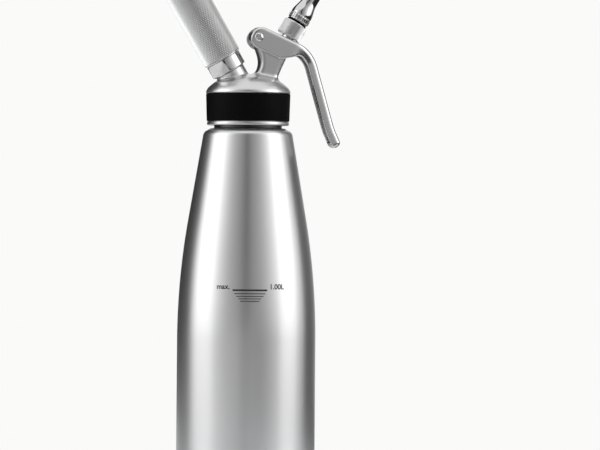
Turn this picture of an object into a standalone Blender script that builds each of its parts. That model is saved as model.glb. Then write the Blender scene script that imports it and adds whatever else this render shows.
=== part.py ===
"""Whipped cream dispenser: a steel bottle with a cast head, a charger holder, a lever valve and a nozzle.

Metres, +Z up. The origin is the centre of the bottle's base, and the head's lever lies towards +X.
Two tilted axes leave the bottle's axis above its neck: the inlet axis carries the charger holder,
and the valve axis carries the stem, the coupling ring and the nozzle. Pieces on a tilted axis are
modelled along their own Z and hang from an empty that lies on that axis.
"""
import math

import bmesh
import bpy
from mathutils import Vector

# Clearances and cuts
SEAT_GAP = 0.0003
RUNNING_GAP = 0.0004
CUT_OVERRUN = 0.0020
MERGE_DISTANCE = 0.000002

# Facets of round pieces
LARGE_STEPS = 48
MEDIUM_STEPS = 28
SMALL_STEPS = 20
TINY_STEPS = 12
ROUND_STEPS = 4
SHARP_ANGLE = math.radians(35)

# Bottle
BOTTLE_RADIUS = 0.0490
BOTTLE_WALL = 0.0010
BASE_CORNER = 0.0060
TAPER_START = 0.1050
TAPER_ARC_RADIUS = 0.5100
TAPER_ANGLE = math.radians(9.6)
TAPER_STEPS = 6
SHOULDER_FILLET = 0.0030
SHOULDER_ANGLE = math.radians(48.0)
NECK_TOP = 0.2740
NECK_LENGTH = 0.01665
NECK_FOOT = NECK_TOP - NECK_LENGTH
NECK_RADIUS = 0.0250
MOUTH_RADIUS = 0.0225
MOUTH_ROUND = 0.0006

# Gasket between the bottle's rim and the head
GASKET_THICKNESS = 0.0024
GASKET_RADIUS = 0.0249
GASKET_HOLE = 0.0216

# Head: skirt, band seat and dome
LIP_DROP = 0.0168
LIP_BOTTOM = NECK_TOP - LIP_DROP
LIP_RADIUS = 0.0290
LIP_ROUND = 0.0008
LIP_HEIGHT = 0.0026
LIP_CHAMFER = 0.0022
SKIRT_BORE = NECK_RADIUS + RUNNING_GAP
BAND_SEAT_RADIUS = 0.0279
BAND_SEAT_RISE = 0.0060
BAND_SEAT_TOP = NECK_TOP + BAND_SEAT_RISE
DOME_RADIUS = 0.0299
DOME_HEIGHT = 0.0133
DOME_SHARES = (
    (1.000, 0.000), (0.996, 0.070), (0.980, 0.165), (0.947, 0.293), (0.868, 0.451),
    (0.772, 0.612), (0.620, 0.785), (0.420, 0.910), (0.200, 0.980),
)
CAVITY_RADIUS = 0.0205
CAVITY_WALL = 0.0048
CAVITY_SHARES = ((1.00, 0.00), (1.00, 0.30), (0.88, 0.62), (0.58, 0.88), (0.28, 0.98))

# Black band round the skirt
BAND_RADIUS_TOP = 0.0299
BAND_RADIUS_BOTTOM = 0.0293
BAND_ROUND = 0.0005

# Inlet axis: head's neck and spigot, charger, holder
INLET_TILT = math.radians(30.4)
INLET_CROSS_DROP = 0.0014
INLET_CROSS_HEIGHT = NECK_TOP - INLET_CROSS_DROP
HOLDER_MOUTH = 0.0269
INLET_NECK_RADIUS = 0.0108
INLET_FLARE_START = 0.0150
INLET_FLARE_EXTRA = 0.0040
INLET_FLARE_SHARES = ((0.00, 1.00), (0.16, 0.55), (0.30, 0.28), (0.46, 0.10), (0.64, 0.00))
SPIGOT_RADIUS = 0.0103
SPIGOT_LENGTH = 0.0118
GAS_BORE = 0.0020
INLET_BOSS_RADIUS = 0.0070
INLET_BOSS_FACE = 0.0150
INLET_POCKET_RADIUS = 0.0065
INLET_POCKET_START = 0.0050

PIN_HOLDER_RADIUS = 0.0075
PIN_HOLDER_LENGTH = 0.0110
PIN_HOLDER_FLOOR = 0.0040
PIN_HOLDER_FLANGE_DEPTH = 0.0019
PIN_SEAL_THICKNESS = 0.0016
PIN_SEAL_HOLE = 0.0012
PIN_RADIUS = 0.0008
PIN_BORE = 0.0003
PIN_FLANGE_RADIUS = 0.0021
PIN_REACH = 0.0030
PIN_POINT = 0.0014
FILTER_RADIUS = 0.0042
FILTER_THICKNESS = 0.0014
FILTER_SEAT_DEPTH = 0.0020
UMBRELLA_RADIUS = 0.0052
UMBRELLA_THICKNESS = 0.0010
UMBRELLA_STEM_RADIUS = 0.0012
UMBRELLA_BULB_RADIUS = 0.0017
UMBRELLA_STEM_LENGTH = 0.0045
UMBRELLA_BULB_LENGTH = 0.0014

CHARGER_RADIUS = 0.0090
CHARGER_LENGTH = 0.0655
CHARGER_NECK_RADIUS = 0.0044
CHARGER_NECK_LENGTH = 0.0090
CHARGER_SHOULDER_LENGTH = 0.0075
CHARGER_SHOULDER_ANGLES = (12, 30, 50, 70, 90)
CHARGER_END_STEPS = 6
CHARGER_WALL = 0.0010
CHARGER_PIERCED_RADIUS = 0.0012

HOLDER_RING_RADIUS = 0.01275
HOLDER_RING_LENGTH = 0.0105
HOLDER_RING_ROUND = 0.0012
HOLDER_TUBE_RADIUS = 0.0116
HOLDER_THREAD_DEPTH = 0.0123
HOLDER_END_WALL = 0.0020
CUSHION_RADIUS = 0.0080
CUSHION_THICKNESS = 0.0020
GRIP_RADIUS_LOWER = 0.0136
GRIP_RADIUS_UPPER = 0.0141
GRIP_END_WALL = 0.0025
GRIP_END_ROUND = 0.0022
GRIP_MOUTH_ROUND = 0.0005

# Lever and its pivot
PIVOT_X = 0.0056
PIVOT_ABOVE_NECK = 0.0456
PIVOT_HEIGHT = NECK_TOP + PIVOT_ABOVE_NECK
LEVER_SLOPE = math.radians(24.3)
LEVER_WEB_TOP = 0.0084
LEVER_WEB = 0.0020
LEVER_PLATE = 0.0020
LEVER_HALF_WIDTH = 0.0104
LEVER_HANDLE_HALF_WIDTH = 0.0072
LEVER_EDGE = 0.0013
LEVER_INNER_EDGE = 0.0006
LEVER_END_RADIUS = 0.0080
LEVER_END_X = 0.0024
LEVER_END_ANGLES = (14, 35, 60)
LEVER_BEND_START = 0.0285
LEVER_BEND_RADIUS = 0.0250
LEVER_BEND = math.radians(49.8)
LEVER_BEND_STEPS = 9
LEVER_DEEPEN_STEPS = 3
LEVER_SLOT_STEPS = 8
LEVER_HANDLE_LENGTH = 0.0418
LEVER_KICK_RADIUS = 0.0500
LEVER_KICK = math.radians(8.5)
LEVER_TIP_LENGTH = 0.0118
LEVER_PLATE_DEPTH = 0.0160
LEVER_HANDLE_DEPTH = 0.00715
LEVER_DEPTH_FROM = 0.0180
LEVER_DEPTH_TO = 0.0365
LEVER_NARROW_FROM = 0.0260
LEVER_NARROW_TO = 0.0480
LEVER_TIP_WALL = 0.0022
LEVER_TIP_WIDTH_SHARE = 0.62
LEVER_SQUEEZE = math.radians(9.0)

SLEEVE_RADIUS = 0.0024
SLEEVE_HEAD_RADIUS = 0.00325
SLEEVE_HEAD_HEIGHT = 0.0012
SCREW_RADIUS = 0.0014
SCREW_HEAD_RADIUS = 0.00325
SCREW_HEAD_HEIGHT = 0.0014
SCREW_REACH_SHARE = 0.80
SCREW_CROWN_SHARE = 0.87
SCREW_CROSS_LENGTH = 0.0038
SCREW_CROSS_WIDTH = 0.0008
SCREW_CROSS_DEPTH = 0.0007

# Valve axis: tower, stem, spring, coupling ring, nozzle
VALVE_TILT = math.radians(31.4)
VALVE_CROSS_RISE = 0.0002
VALVE_CROSS_HEIGHT = NECK_TOP + VALVE_CROSS_RISE
TOWER_HALF_DEPTH = 0.0080
TOWER_TOP_RISE = 0.0030
TOWER_EDGE = 0.0010
BARREL_RADIUS = 0.0061
BOSS_RADIUS = 0.0052
BOSS_ARC_END = math.radians(250)
BOSS_STEPS = 12
TOWER_FOOT = 0.0140
TOWER_NECK_TOP = 0.0318
TOWER_ROW_SHARES = (
    (0.00, -1.62, 1.93, 1.46), (0.18, -1.30, 1.76, 1.28), (0.32, -1.13, 1.64, 1.13),
    (0.48, -1.04, 1.54, 1.05), (0.66, -1.06, 1.43, 1.01), (0.84, -1.26, 1.32, 0.99),
    (1.00, -1.60, 1.24, 0.97),
)
TOWER_CORNER_SHARE = 0.30
TOWER_SIDE_SHARES = ((1.18, 0.60), (1.02, 0.16))
TOWER_THROAT_SHARES = ((-2.36, 0.10), (-1.78, -0.14), (-1.36, -0.30))
VALVE_SEAT = 0.0125
SEAT_BOSS_RADIUS = 0.0085
SEAT_BOSS_LENGTH = 0.0110
SEAT_POCKET_RADIUS = 0.0080
SEAT_POCKET_START = 0.0020
STEM_RADIUS = 0.0031
STEM_UPPER_RADIUS = 0.0025
STEM_BORE = 0.0017
STEM_UPPER_LENGTH = 0.0055
STEM_DISC_RADIUS = 0.0063
STEM_DISC_THICKNESS = 0.0020
STEM_PORT_RADIUS = 0.0010
STEM_PORT_RISE = 0.0022
STEM_SEAL_RADIUS = 0.0060
STEM_SEAL_THICKNESS = 0.0012
SPRING_POCKET_RADIUS = 0.00475
SPRING_POCKET_FLOOR = 0.0300
ORING_MINOR = 0.00055
ORING_STEPS = 8
BUSH_LENGTH = 0.0040
SPRING_WIRE = 0.0008
SPRING_TURNS = 5
SPRING_POINTS_PER_TURN = 9
COLLAR_THICKNESS = 0.0018
COLLAR_RADIUS = 0.0060
COLLAR_CROWN_RADIUS = 0.0049
COLLAR_CROWN_DROP = 0.0010
HUB_RADIUS = 0.0042
SLOT_CLEARANCE = 0.0004
RING_GAP = 0.0030
RING_RADIUS = 0.0086
RING_HEIGHT = 0.0100
RING_EDGE = 0.0005
SPIGOT_TOP_RADIUS = 0.0057
SPIGOT_TOP_LENGTH = 0.0070
ADAPTER_BORE = 0.0019
NOZZLE_SEAL_RADIUS = 0.0072
NOZZLE_SEAL_THICKNESS = 0.0012
NOZZLE_BASE_RADIUS = 0.0077
NOZZLE_BASE_HEIGHT = 0.0055
NOZZLE_SHOULDER_TOP = 0.0162
NOZZLE_TUBE_RADIUS = 0.00575
NOZZLE_TIP_RADIUS = 0.0052
NOZZLE_LENGTH = 0.0500
NOZZLE_WALL = 0.0010
NOZZLE_LIP_ROUND = 0.0004
NOZZLE_SHOULDER_STEPS = 7

# Places worked out from the sizes above
TAPER_TOP = TAPER_START + TAPER_ARC_RADIUS * math.sin(TAPER_ANGLE)
TAPER_TOP_RADIUS = BOTTLE_RADIUS - TAPER_ARC_RADIUS * (1 - math.cos(TAPER_ANGLE))
SHOULDER_CORNER = (
    NECK_RADIUS - TAPER_TOP_RADIUS + NECK_FOOT * math.tan(SHOULDER_ANGLE) - TAPER_TOP * math.tan(TAPER_ANGLE)
) / (math.tan(SHOULDER_ANGLE) - math.tan(TAPER_ANGLE))
SHOULDER_START = SHOULDER_CORNER - (
    SHOULDER_FILLET * math.tan((SHOULDER_ANGLE - TAPER_ANGLE) / 2) * math.cos(TAPER_ANGLE)
)

GASKET_BOTTOM = NECK_TOP + SEAT_GAP
CEILING = GASKET_BOTTOM + GASKET_THICKNESS + SEAT_GAP
DOME_TOP = BAND_SEAT_TOP + DOME_HEIGHT
CAVITY_HEIGHT = DOME_TOP - CAVITY_WALL - CEILING
BAND_BOTTOM = LIP_BOTTOM + LIP_HEIGHT + SEAT_GAP
BAND_TOP = BAND_SEAT_TOP - SEAT_GAP

SPIGOT_BASE = HOLDER_MOUTH - SEAT_GAP
PIN_HOLDER_BOTTOM = SPIGOT_BASE + RUNNING_GAP + SEAT_GAP
PIN_HOLDER_TOP = PIN_HOLDER_BOTTOM + PIN_HOLDER_LENGTH
PIN_SEAL_BOTTOM = PIN_HOLDER_BOTTOM + PIN_HOLDER_FLOOR + SEAT_GAP
CHARGER_TIP = PIN_SEAL_BOTTOM + PIN_SEAL_THICKNESS + SEAT_GAP
CHARGER_END = CHARGER_TIP + CHARGER_LENGTH
CHARGER_RECESS = CHARGER_NECK_RADIUS + RUNNING_GAP
CHARGER_BORE = CHARGER_RADIUS + RUNNING_GAP
CUSHION_BOTTOM = CHARGER_END + SEAT_GAP
HOLDER_FLOOR = CUSHION_BOTTOM + CUSHION_THICKNESS + SEAT_GAP
HOLDER_END = HOLDER_FLOOR + HOLDER_END_WALL
GRIP_START = HOLDER_MOUTH + HOLDER_RING_LENGTH + SEAT_GAP
GRIP_BORE = HOLDER_TUBE_RADIUS + SEAT_GAP
GRIP_FLOOR = HOLDER_END + SEAT_GAP
GRIP_END = GRIP_FLOOR + GRIP_END_WALL

PIVOT_RISE = PIVOT_HEIGHT - VALVE_CROSS_HEIGHT
PIVOT_STATION = PIVOT_X * math.sin(VALVE_TILT) + PIVOT_RISE * math.cos(VALVE_TILT)
LEVER_ARM = PIVOT_RISE * math.sin(VALVE_TILT) - PIVOT_X * math.cos(VALVE_TILT)
WEB_LEAN = VALVE_TILT - LEVER_SLOPE
WEB_UNDER = LEVER_WEB_TOP - LEVER_WEB
WEB_UNDER_AT_AXIS = PIVOT_STATION + WEB_UNDER / math.cos(WEB_LEAN) + LEVER_ARM * math.tan(WEB_LEAN)
WEB_TOP_AT_AXIS = PIVOT_STATION + LEVER_WEB_TOP / math.cos(WEB_LEAN) + LEVER_ARM * math.tan(WEB_LEAN)
WEB_MIDDLE = LEVER_WEB_TOP - LEVER_WEB / 2
SLOT_AT_REST = (LEVER_ARM + WEB_MIDDLE * math.sin(WEB_LEAN)) / math.cos(WEB_LEAN)
SQUEEZED_LEAN = WEB_LEAN - LEVER_SQUEEZE
SLOT_SQUEEZED = (LEVER_ARM + WEB_MIDDLE * math.sin(SQUEEZED_LEAN)) / math.cos(SQUEEZED_LEAN)
SLOT_CENTRE = (SLOT_AT_REST + SLOT_SQUEEZED) / 2
SLOT_HALF_WIDTH = HUB_RADIUS + SLOT_CLEARANCE
SLOT_HALF_LENGTH = (
    SLOT_HALF_WIDTH + abs(SLOT_AT_REST - SLOT_SQUEEZED) / 2 + LEVER_WEB / 2 * math.tan(abs(WEB_LEAN))
)
COLLAR_DIP = math.sqrt(COLLAR_CROWN_RADIUS ** 2 - SLOT_HALF_WIDTH ** 2) * math.tan(abs(WEB_LEAN))
COLLAR_TOP = WEB_UNDER_AT_AXIS - COLLAR_DIP - SEAT_GAP
COLLAR_BOTTOM = COLLAR_TOP - COLLAR_THICKNESS
TOWER_TOP = PIVOT_STATION + TOWER_TOP_RISE
STEM_SHOULDER = COLLAR_BOTTOM - SEAT_GAP
HUB_BOTTOM = COLLAR_TOP + SEAT_GAP
RING_BOTTOM = WEB_TOP_AT_AXIS + RING_GAP
RING_TOP = RING_BOTTOM + RING_HEIGHT
STEM_TOP = RING_BOTTOM + STEM_UPPER_LENGTH
STEM_SEAL_TOP = VALVE_SEAT - SEAT_GAP
STEM_DISC_TOP = STEM_SEAL_TOP - STEM_SEAL_THICKNESS - SEAT_GAP
STEM_DISC_BOTTOM = STEM_DISC_TOP - STEM_DISC_THICKNESS
GUIDE_BORE = STEM_RADIUS + RUNNING_GAP
PACKING_MIDDLE = (STEM_RADIUS + SPRING_POCKET_RADIUS) / 2
BUSH_BOTTOM = SPRING_POCKET_FLOOR + SEAT_GAP + 2 * ORING_MINOR + SEAT_GAP
BUSH_TOP = BUSH_BOTTOM + BUSH_LENGTH
NOZZLE_SEAL_BOTTOM = RING_TOP + SEAT_GAP
NOZZLE_BOTTOM = NOZZLE_SEAL_BOTTOM + NOZZLE_SEAL_THICKNESS + SEAT_GAP


def clear_scene():
    for item in list(bpy.data.objects):
        bpy.data.objects.remove(item, do_unlink=True)


def finish_material(name, colour, metallic, roughness):
    material = bpy.data.materials.get(name)
    if material is None:
        material = bpy.data.materials.new(name)
        material.use_nodes = True
        shader = material.node_tree.nodes["Principled BSDF"]
        shader.inputs["Base Color"].default_value = (*colour, 1.0)
        shader.inputs["Metallic"].default_value = metallic
        shader.inputs["Roughness"].default_value = roughness
        material.diffuse_color = (*colour, 1.0)
    return material


def satin_steel():
    return finish_material("satin_steel", (0.62, 0.62, 0.63), 1.0, 0.34)


def polished_steel():
    return finish_material("polished_steel", (0.72, 0.72, 0.73), 1.0, 0.14)


def black_silicone():
    return finish_material("black_silicone", (0.012, 0.012, 0.013), 0.0, 0.55)


def clear_silicone():
    return finish_material("clear_silicone", (0.70, 0.70, 0.68), 0.0, 0.50)


def brass():
    return finish_material("brass", (0.70, 0.52, 0.24), 1.0, 0.30)


def spring_steel():
    return finish_material("spring_steel", (0.50, 0.50, 0.52), 1.0, 0.25)


def add_object(name, mesh, material, parent=None):
    piece = bpy.data.objects.new(name, mesh)
    bpy.context.collection.objects.link(piece)
    piece.parent = parent
    if material is not None:
        mesh.materials.append(material)
    return piece


def add_axis(name, x, z, tilt, parent=None):
    """An empty whose Z leans from the vertical towards +X by the tilt."""
    empty = bpy.data.objects.new(name, None)
    bpy.context.collection.objects.link(empty)
    empty.location = (x, 0, z)
    empty.rotation_euler = (0, tilt, 0)
    empty.parent = parent
    return empty


def mesh_from(shape, name):
    """Turn a bmesh into a mesh whose faces point out, with its flat edges kept sharp."""
    bmesh.ops.recalc_face_normals(shape, faces=shape.faces)
    if shape.calc_volume(signed=True) < 0:
        bmesh.ops.reverse_faces(shape, faces=shape.faces)
    mesh = bpy.data.meshes.new(name)
    shape.to_mesh(mesh)
    shape.free()
    mesh.shade_smooth()
    mesh.set_sharp_from_angle(angle=SHARP_ANGLE)
    return mesh


def turned_mesh(name, profile, steps):
    """Spin a profile of (radius, height) points about Z.

    A profile that starts and ends on the axis makes a solid, and any other is closed into a ring.
    """
    shape = bmesh.new()
    points = [shape.verts.new((radius, 0, height)) for radius, height in profile]
    edges = [shape.edges.new(pair) for pair in zip(points, points[1:])]
    if profile[0][0] > 0 or profile[-1][0] > 0:
        edges.append(shape.edges.new((points[-1], points[0])))
    bmesh.ops.spin(
        shape, geom=points + edges, axis=(0, 0, 1), cent=(0, 0, 0), angle=math.tau, steps=steps, use_merge=True
    )
    bmesh.ops.remove_doubles(shape, verts=shape.verts, dist=MERGE_DISTANCE)
    bmesh.ops.dissolve_degenerate(shape, edges=shape.edges, dist=MERGE_DISTANCE)
    return mesh_from(shape, name)


def turned(name, profile, steps, material, parent=None):
    return add_object(name, turned_mesh(name, profile, steps), material, parent)


def rod(name, radius, bottom, top, steps, material=None, parent=None):
    return turned(name, [(0, bottom), (radius, bottom), (radius, top), (0, top)], steps, material, parent)


def lofted(name, sections, material=None, parent=None):
    """Skin closed sections that have the same number of points, and close both ends."""
    shape = bmesh.new()
    rings = [[shape.verts.new(point) for point in section] for section in sections]
    for lower, upper in zip(rings, rings[1:]):
        for index, _ in enumerate(lower):
            after = (index + 1) % len(lower)
            shape.faces.new((lower[index], lower[after], upper[after], upper[index]))
    shape.faces.new(rings[0])
    shape.faces.new(rings[-1])
    bmesh.ops.triangulate(shape, faces=shape.faces)
    return add_object(name, mesh_from(shape, name), material, parent)


def extruded(name, outline, half_depth, material=None, parent=None):
    """Extrude an outline of (x, z) points to both sides of the XZ plane."""
    sections = [[(x, side * half_depth, z) for x, z in outline] for side in (-1, 1)]
    return lofted(name, sections, material, parent)


def arc(centre_x, centre_z, radius, start, end, steps):
    """Points on a circle from one angle to another, both included."""
    return [
        (
            centre_x + radius * math.cos(start + (end - start) * index / steps),
            centre_z + radius * math.sin(start + (end - start) * index / steps),
        )
        for index in range(steps + 1)
    ]


def smooth_step(value, low, high):
    share = min(1.0, max(0.0, (value - low) / (high - low)))
    return share * share * (3 - 2 * share)


def combine(piece, other, operation, crossing=False):
    """Join or cut a piece with another shape, weld what the cut left behind, and drop the tool.

    Crossing is for a piece whose own skin touches itself.
    """
    modifier = piece.modifiers.new(other.name, "BOOLEAN")
    modifier.operation = operation
    modifier.object = other
    modifier.solver = "EXACT"
    modifier.use_self = crossing
    bpy.context.view_layer.update()
    evaluated = piece.evaluated_get(bpy.context.evaluated_depsgraph_get())
    shape = bmesh.new()
    shape.from_mesh(evaluated.to_mesh())
    bmesh.ops.remove_doubles(shape, verts=shape.verts, dist=MERGE_DISTANCE)
    bmesh.ops.dissolve_degenerate(shape, edges=shape.edges, dist=MERGE_DISTANCE)
    bmesh.ops.triangulate(shape, faces=shape.faces)
    shape.to_mesh(piece.data)
    shape.free()
    piece.modifiers.remove(modifier)
    bpy.data.objects.remove(other)


def make_bottle():
    corner = arc(BOTTLE_RADIUS - BASE_CORNER, BASE_CORNER, BASE_CORNER, -math.pi / 2, 0, ROUND_STEPS)
    taper = arc(BOTTLE_RADIUS - TAPER_ARC_RADIUS, TAPER_START, TAPER_ARC_RADIUS, 0, TAPER_ANGLE, TAPER_STEPS)
    shoulder_radius = TAPER_TOP_RADIUS - (SHOULDER_START - TAPER_TOP) * math.tan(TAPER_ANGLE)
    fillet_centre = shoulder_radius - SHOULDER_FILLET * math.cos(TAPER_ANGLE)
    fillet_height = SHOULDER_START - SHOULDER_FILLET * math.sin(TAPER_ANGLE)
    fillet = arc(fillet_centre, fillet_height, SHOULDER_FILLET, TAPER_ANGLE, SHOULDER_ANGLE, ROUND_STEPS)
    slope_radius, slope_height = fillet[-1]
    outer = [(0, 0)] + corner + taper + fillet + [(NECK_RADIUS, NECK_FOOT)]
    rim = [
        (NECK_RADIUS, NECK_TOP - MOUTH_ROUND),
        (NECK_RADIUS - MOUTH_ROUND, NECK_TOP),
        (MOUTH_RADIUS + MOUTH_ROUND, NECK_TOP),
        (MOUTH_RADIUS, NECK_TOP - MOUTH_ROUND),
    ]
    inner_corner = BASE_CORNER - BOTTLE_WALL
    inside = [(MOUTH_RADIUS, NECK_FOOT - BOTTLE_WALL)]
    inside.append((slope_radius - BOTTLE_WALL, slope_height - BOTTLE_WALL))
    inside += [(radius - BOTTLE_WALL / math.cos(TAPER_ANGLE), height) for radius, height in reversed(taper)]
    inside += arc(BOTTLE_RADIUS - BASE_CORNER, BASE_CORNER, inner_corner, 0, -math.pi / 2, ROUND_STEPS)
    inside.append((0, BOTTLE_WALL))
    turned("bottle", outer + rim + inside, LARGE_STEPS, satin_steel())


def make_gasket():
    top = GASKET_BOTTOM + GASKET_THICKNESS
    profile = [(GASKET_HOLE, GASKET_BOTTOM), (GASKET_RADIUS, GASKET_BOTTOM), (GASKET_RADIUS, top), (GASKET_HOLE, top)]
    turned("head_gasket", profile, LARGE_STEPS, clear_silicone())


def head_shell():
    """The turned part of the head: lip, band seat and dome, with the skirt's bore and the cavity."""
    lip_top = LIP_BOTTOM + LIP_HEIGHT
    lip = [(LIP_RADIUS - LIP_ROUND, LIP_BOTTOM), (LIP_RADIUS, LIP_BOTTOM + LIP_ROUND)]
    lip += [(LIP_RADIUS, lip_top - LIP_ROUND), (LIP_RADIUS - LIP_ROUND, lip_top), (BAND_SEAT_RADIUS, lip_top)]
    dome = [(BAND_SEAT_RADIUS, BAND_SEAT_TOP)]
    dome += [(DOME_RADIUS * wide, BAND_SEAT_TOP + DOME_HEIGHT * high) for wide, high in DOME_SHARES]
    dome.append((0, DOME_TOP))
    cavity = [(CAVITY_RADIUS * wide, CEILING + CAVITY_HEIGHT * high) for wide, high in CAVITY_SHARES]
    inside = [(0, CEILING + CAVITY_HEIGHT)] + cavity[::-1]
    skirt = [
        (SKIRT_BORE, CEILING),
        (SKIRT_BORE, LIP_BOTTOM + LIP_HEIGHT),
        (SKIRT_BORE + LIP_CHAMFER, LIP_BOTTOM),
    ]
    return inside + skirt + lip + dome


def tower_section(station, left, right, half_depth):
    """A rounded rectangle square to the valve axis."""
    corner = TOWER_CORNER_SHARE * half_depth
    points = []
    for side_x, side_y, start in ((right, half_depth, 0), (left, half_depth, 1), (left, -half_depth, 2),
                                  (right, -half_depth, 3)):
        centre_x = side_x - math.copysign(corner, side_x)
        centre_y = side_y - math.copysign(corner, side_y)
        turn = start * math.pi / 2
        quarter = arc(centre_x, centre_y, corner, turn, turn + math.pi / 2, ROUND_STEPS)
        points += [(x, y, station) for x, y in quarter]
    return points


def tower_neck(valve_axis):
    """The neck of the tower, which flares where it leaves the dome."""
    height = TOWER_NECK_TOP - TOWER_FOOT
    sections = [
        tower_section(
            TOWER_FOOT + height * rise, BARREL_RADIUS * left, BARREL_RADIUS * right, TOWER_HALF_DEPTH * depth
        )
        for rise, left, right, depth in TOWER_ROW_SHARES
    ]
    return lofted("tower_neck", sections, parent=valve_axis)


def tower_block(valve_axis):
    """The top of the tower: the valve's barrel, and the boss that the lever turns on."""
    neck_height = TOWER_NECK_TOP - TOWER_FOOT
    overlap = neck_height * (1 - TOWER_ROW_SHARES[-2][0])
    base = TOWER_NECK_TOP - overlap
    rise = TOWER_TOP - TOWER_NECK_TOP
    boss_x = -LEVER_ARM
    crest = math.asin(TOWER_TOP_RISE / BOSS_RADIUS)
    outline = [(BARREL_RADIUS * TOWER_ROW_SHARES[-2][2] * (1 - TOWER_EDGE / BARREL_RADIUS), base)]
    outline += [(BARREL_RADIUS * wide, TOWER_NECK_TOP + rise * high) for wide, high in TOWER_SIDE_SHARES[::-1]]
    outline.sort(key=lambda point: point[1])
    outline.append((BARREL_RADIUS, TOWER_TOP))
    outline += arc(boss_x, PIVOT_STATION, BOSS_RADIUS, crest, BOSS_ARC_END, BOSS_STEPS)
    outline += [(BARREL_RADIUS * wide, TOWER_NECK_TOP + rise * high) for wide, high in TOWER_THROAT_SHARES]
    outline.append((BARREL_RADIUS * TOWER_ROW_SHARES[-2][1] * (1 - TOWER_EDGE / BARREL_RADIUS), base))
    return extruded("tower_block", outline, TOWER_HALF_DEPTH, parent=valve_axis)


def inlet_neck(inlet_axis):
    """The flared neck and the threaded spigot that the charger holder screws onto."""
    length = SPIGOT_BASE - INLET_FLARE_START
    neck = [
        (INLET_NECK_RADIUS + INLET_FLARE_EXTRA * extra, INLET_FLARE_START + length * along)
        for along, extra in INLET_FLARE_SHARES
    ]
    spigot_top = SPIGOT_BASE + SPIGOT_LENGTH
    spigot = [(SPIGOT_RADIUS, SPIGOT_BASE), (SPIGOT_RADIUS, spigot_top), (0, spigot_top)]
    profile = [(0, INLET_FLARE_START)] + neck + [(INLET_NECK_RADIUS, SPIGOT_BASE)] + spigot
    return turned("inlet_neck", profile, MEDIUM_STEPS, None, inlet_axis)


def inlet_bore(inlet_axis):
    """Every bore on the inlet axis, from the pocket in the cavity to the end of the spigot."""
    filter_floor = PIN_HOLDER_BOTTOM - SEAT_GAP - FILTER_SEAT_DEPTH
    holder_floor = PIN_HOLDER_BOTTOM - SEAT_GAP
    top = SPIGOT_BASE + SPIGOT_LENGTH + CUT_OVERRUN
    profile = [
        (0, INLET_POCKET_START),
        (INLET_POCKET_RADIUS, INLET_POCKET_START),
        (INLET_POCKET_RADIUS, INLET_BOSS_FACE),
        (GAS_BORE, INLET_BOSS_FACE),
        (GAS_BORE, filter_floor),
        (FILTER_RADIUS + SEAT_GAP, filter_floor),
        (FILTER_RADIUS + SEAT_GAP, holder_floor),
        (PIN_HOLDER_RADIUS + SEAT_GAP, holder_floor),
        (PIN_HOLDER_RADIUS + SEAT_GAP, top),
        (0, top),
    ]
    return turned("inlet_bore", profile, SMALL_STEPS, None, inlet_axis)


def valve_bore(valve_axis):
    """Every bore on the valve axis, from the seat's pocket to the top of the tower."""
    profile = [
        (0, SEAT_POCKET_START),
        (SEAT_POCKET_RADIUS, SEAT_POCKET_START),
        (SEAT_POCKET_RADIUS, VALVE_SEAT),
        (GUIDE_BORE, VALVE_SEAT),
        (GUIDE_BORE, SPRING_POCKET_FLOOR),
        (SPRING_POCKET_RADIUS, SPRING_POCKET_FLOOR),
        (SPRING_POCKET_RADIUS, TOWER_TOP + CUT_OVERRUN),
        (0, TOWER_TOP + CUT_OVERRUN),
    ]
    return turned("valve_bore", profile, SMALL_STEPS, None, valve_axis)


def cross_rod(name, radius, half_length, steps, parent):
    """A rod along Y through the parent's origin, to cut a hole."""
    piece = rod(name, radius, -half_length, half_length, steps, parent=parent)
    piece.rotation_euler = (math.pi / 2, 0, 0)
    return piece


def make_head(inlet_axis, valve_axis, lever_axis):
    head = turned("head", head_shell(), LARGE_STEPS, polished_steel())
    combine(head, inlet_neck(inlet_axis), "UNION")
    combine(head, tower_neck(valve_axis), "UNION")
    combine(head, tower_block(valve_axis), "UNION")
    inside = [(CAVITY_RADIUS * wide, CEILING + CAVITY_HEIGHT * high) for wide, high in CAVITY_SHARES]
    hollow = [(0, CEILING - CUT_OVERRUN), (CAVITY_RADIUS, CEILING - CUT_OVERRUN)] + inside
    hollow.append((0, CEILING + CAVITY_HEIGHT))
    combine(head, turned("cavity", hollow, LARGE_STEPS, None), "DIFFERENCE")
    seat_boss = rod("seat_boss", SEAT_BOSS_RADIUS, VALVE_SEAT, VALVE_SEAT + SEAT_BOSS_LENGTH, SMALL_STEPS,
                    parent=valve_axis)
    combine(head, seat_boss, "UNION")
    inlet_boss = rod("inlet_boss", INLET_BOSS_RADIUS, INLET_BOSS_FACE, SPIGOT_BASE, SMALL_STEPS, parent=inlet_axis)
    combine(head, inlet_boss, "UNION")
    combine(head, inlet_bore(inlet_axis), "DIFFERENCE")
    combine(head, valve_bore(valve_axis), "DIFFERENCE")
    hole = cross_rod("pivot_hole", SLEEVE_RADIUS + SEAT_GAP, TOWER_HALF_DEPTH + CUT_OVERRUN, SMALL_STEPS, lever_axis)
    combine(head, hole, "DIFFERENCE")


def make_band():
    inner = BAND_SEAT_RADIUS + SEAT_GAP
    profile = [
        (inner, BAND_BOTTOM),
        (BAND_RADIUS_BOTTOM - BAND_ROUND, BAND_BOTTOM),
        (BAND_RADIUS_BOTTOM, BAND_BOTTOM + BAND_ROUND),
        (BAND_RADIUS_TOP, BAND_TOP - BAND_ROUND),
        (BAND_RADIUS_TOP - BAND_ROUND, BAND_TOP),
        (inner, BAND_TOP),
    ]
    turned("grip_band", profile, LARGE_STEPS, black_silicone())


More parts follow.
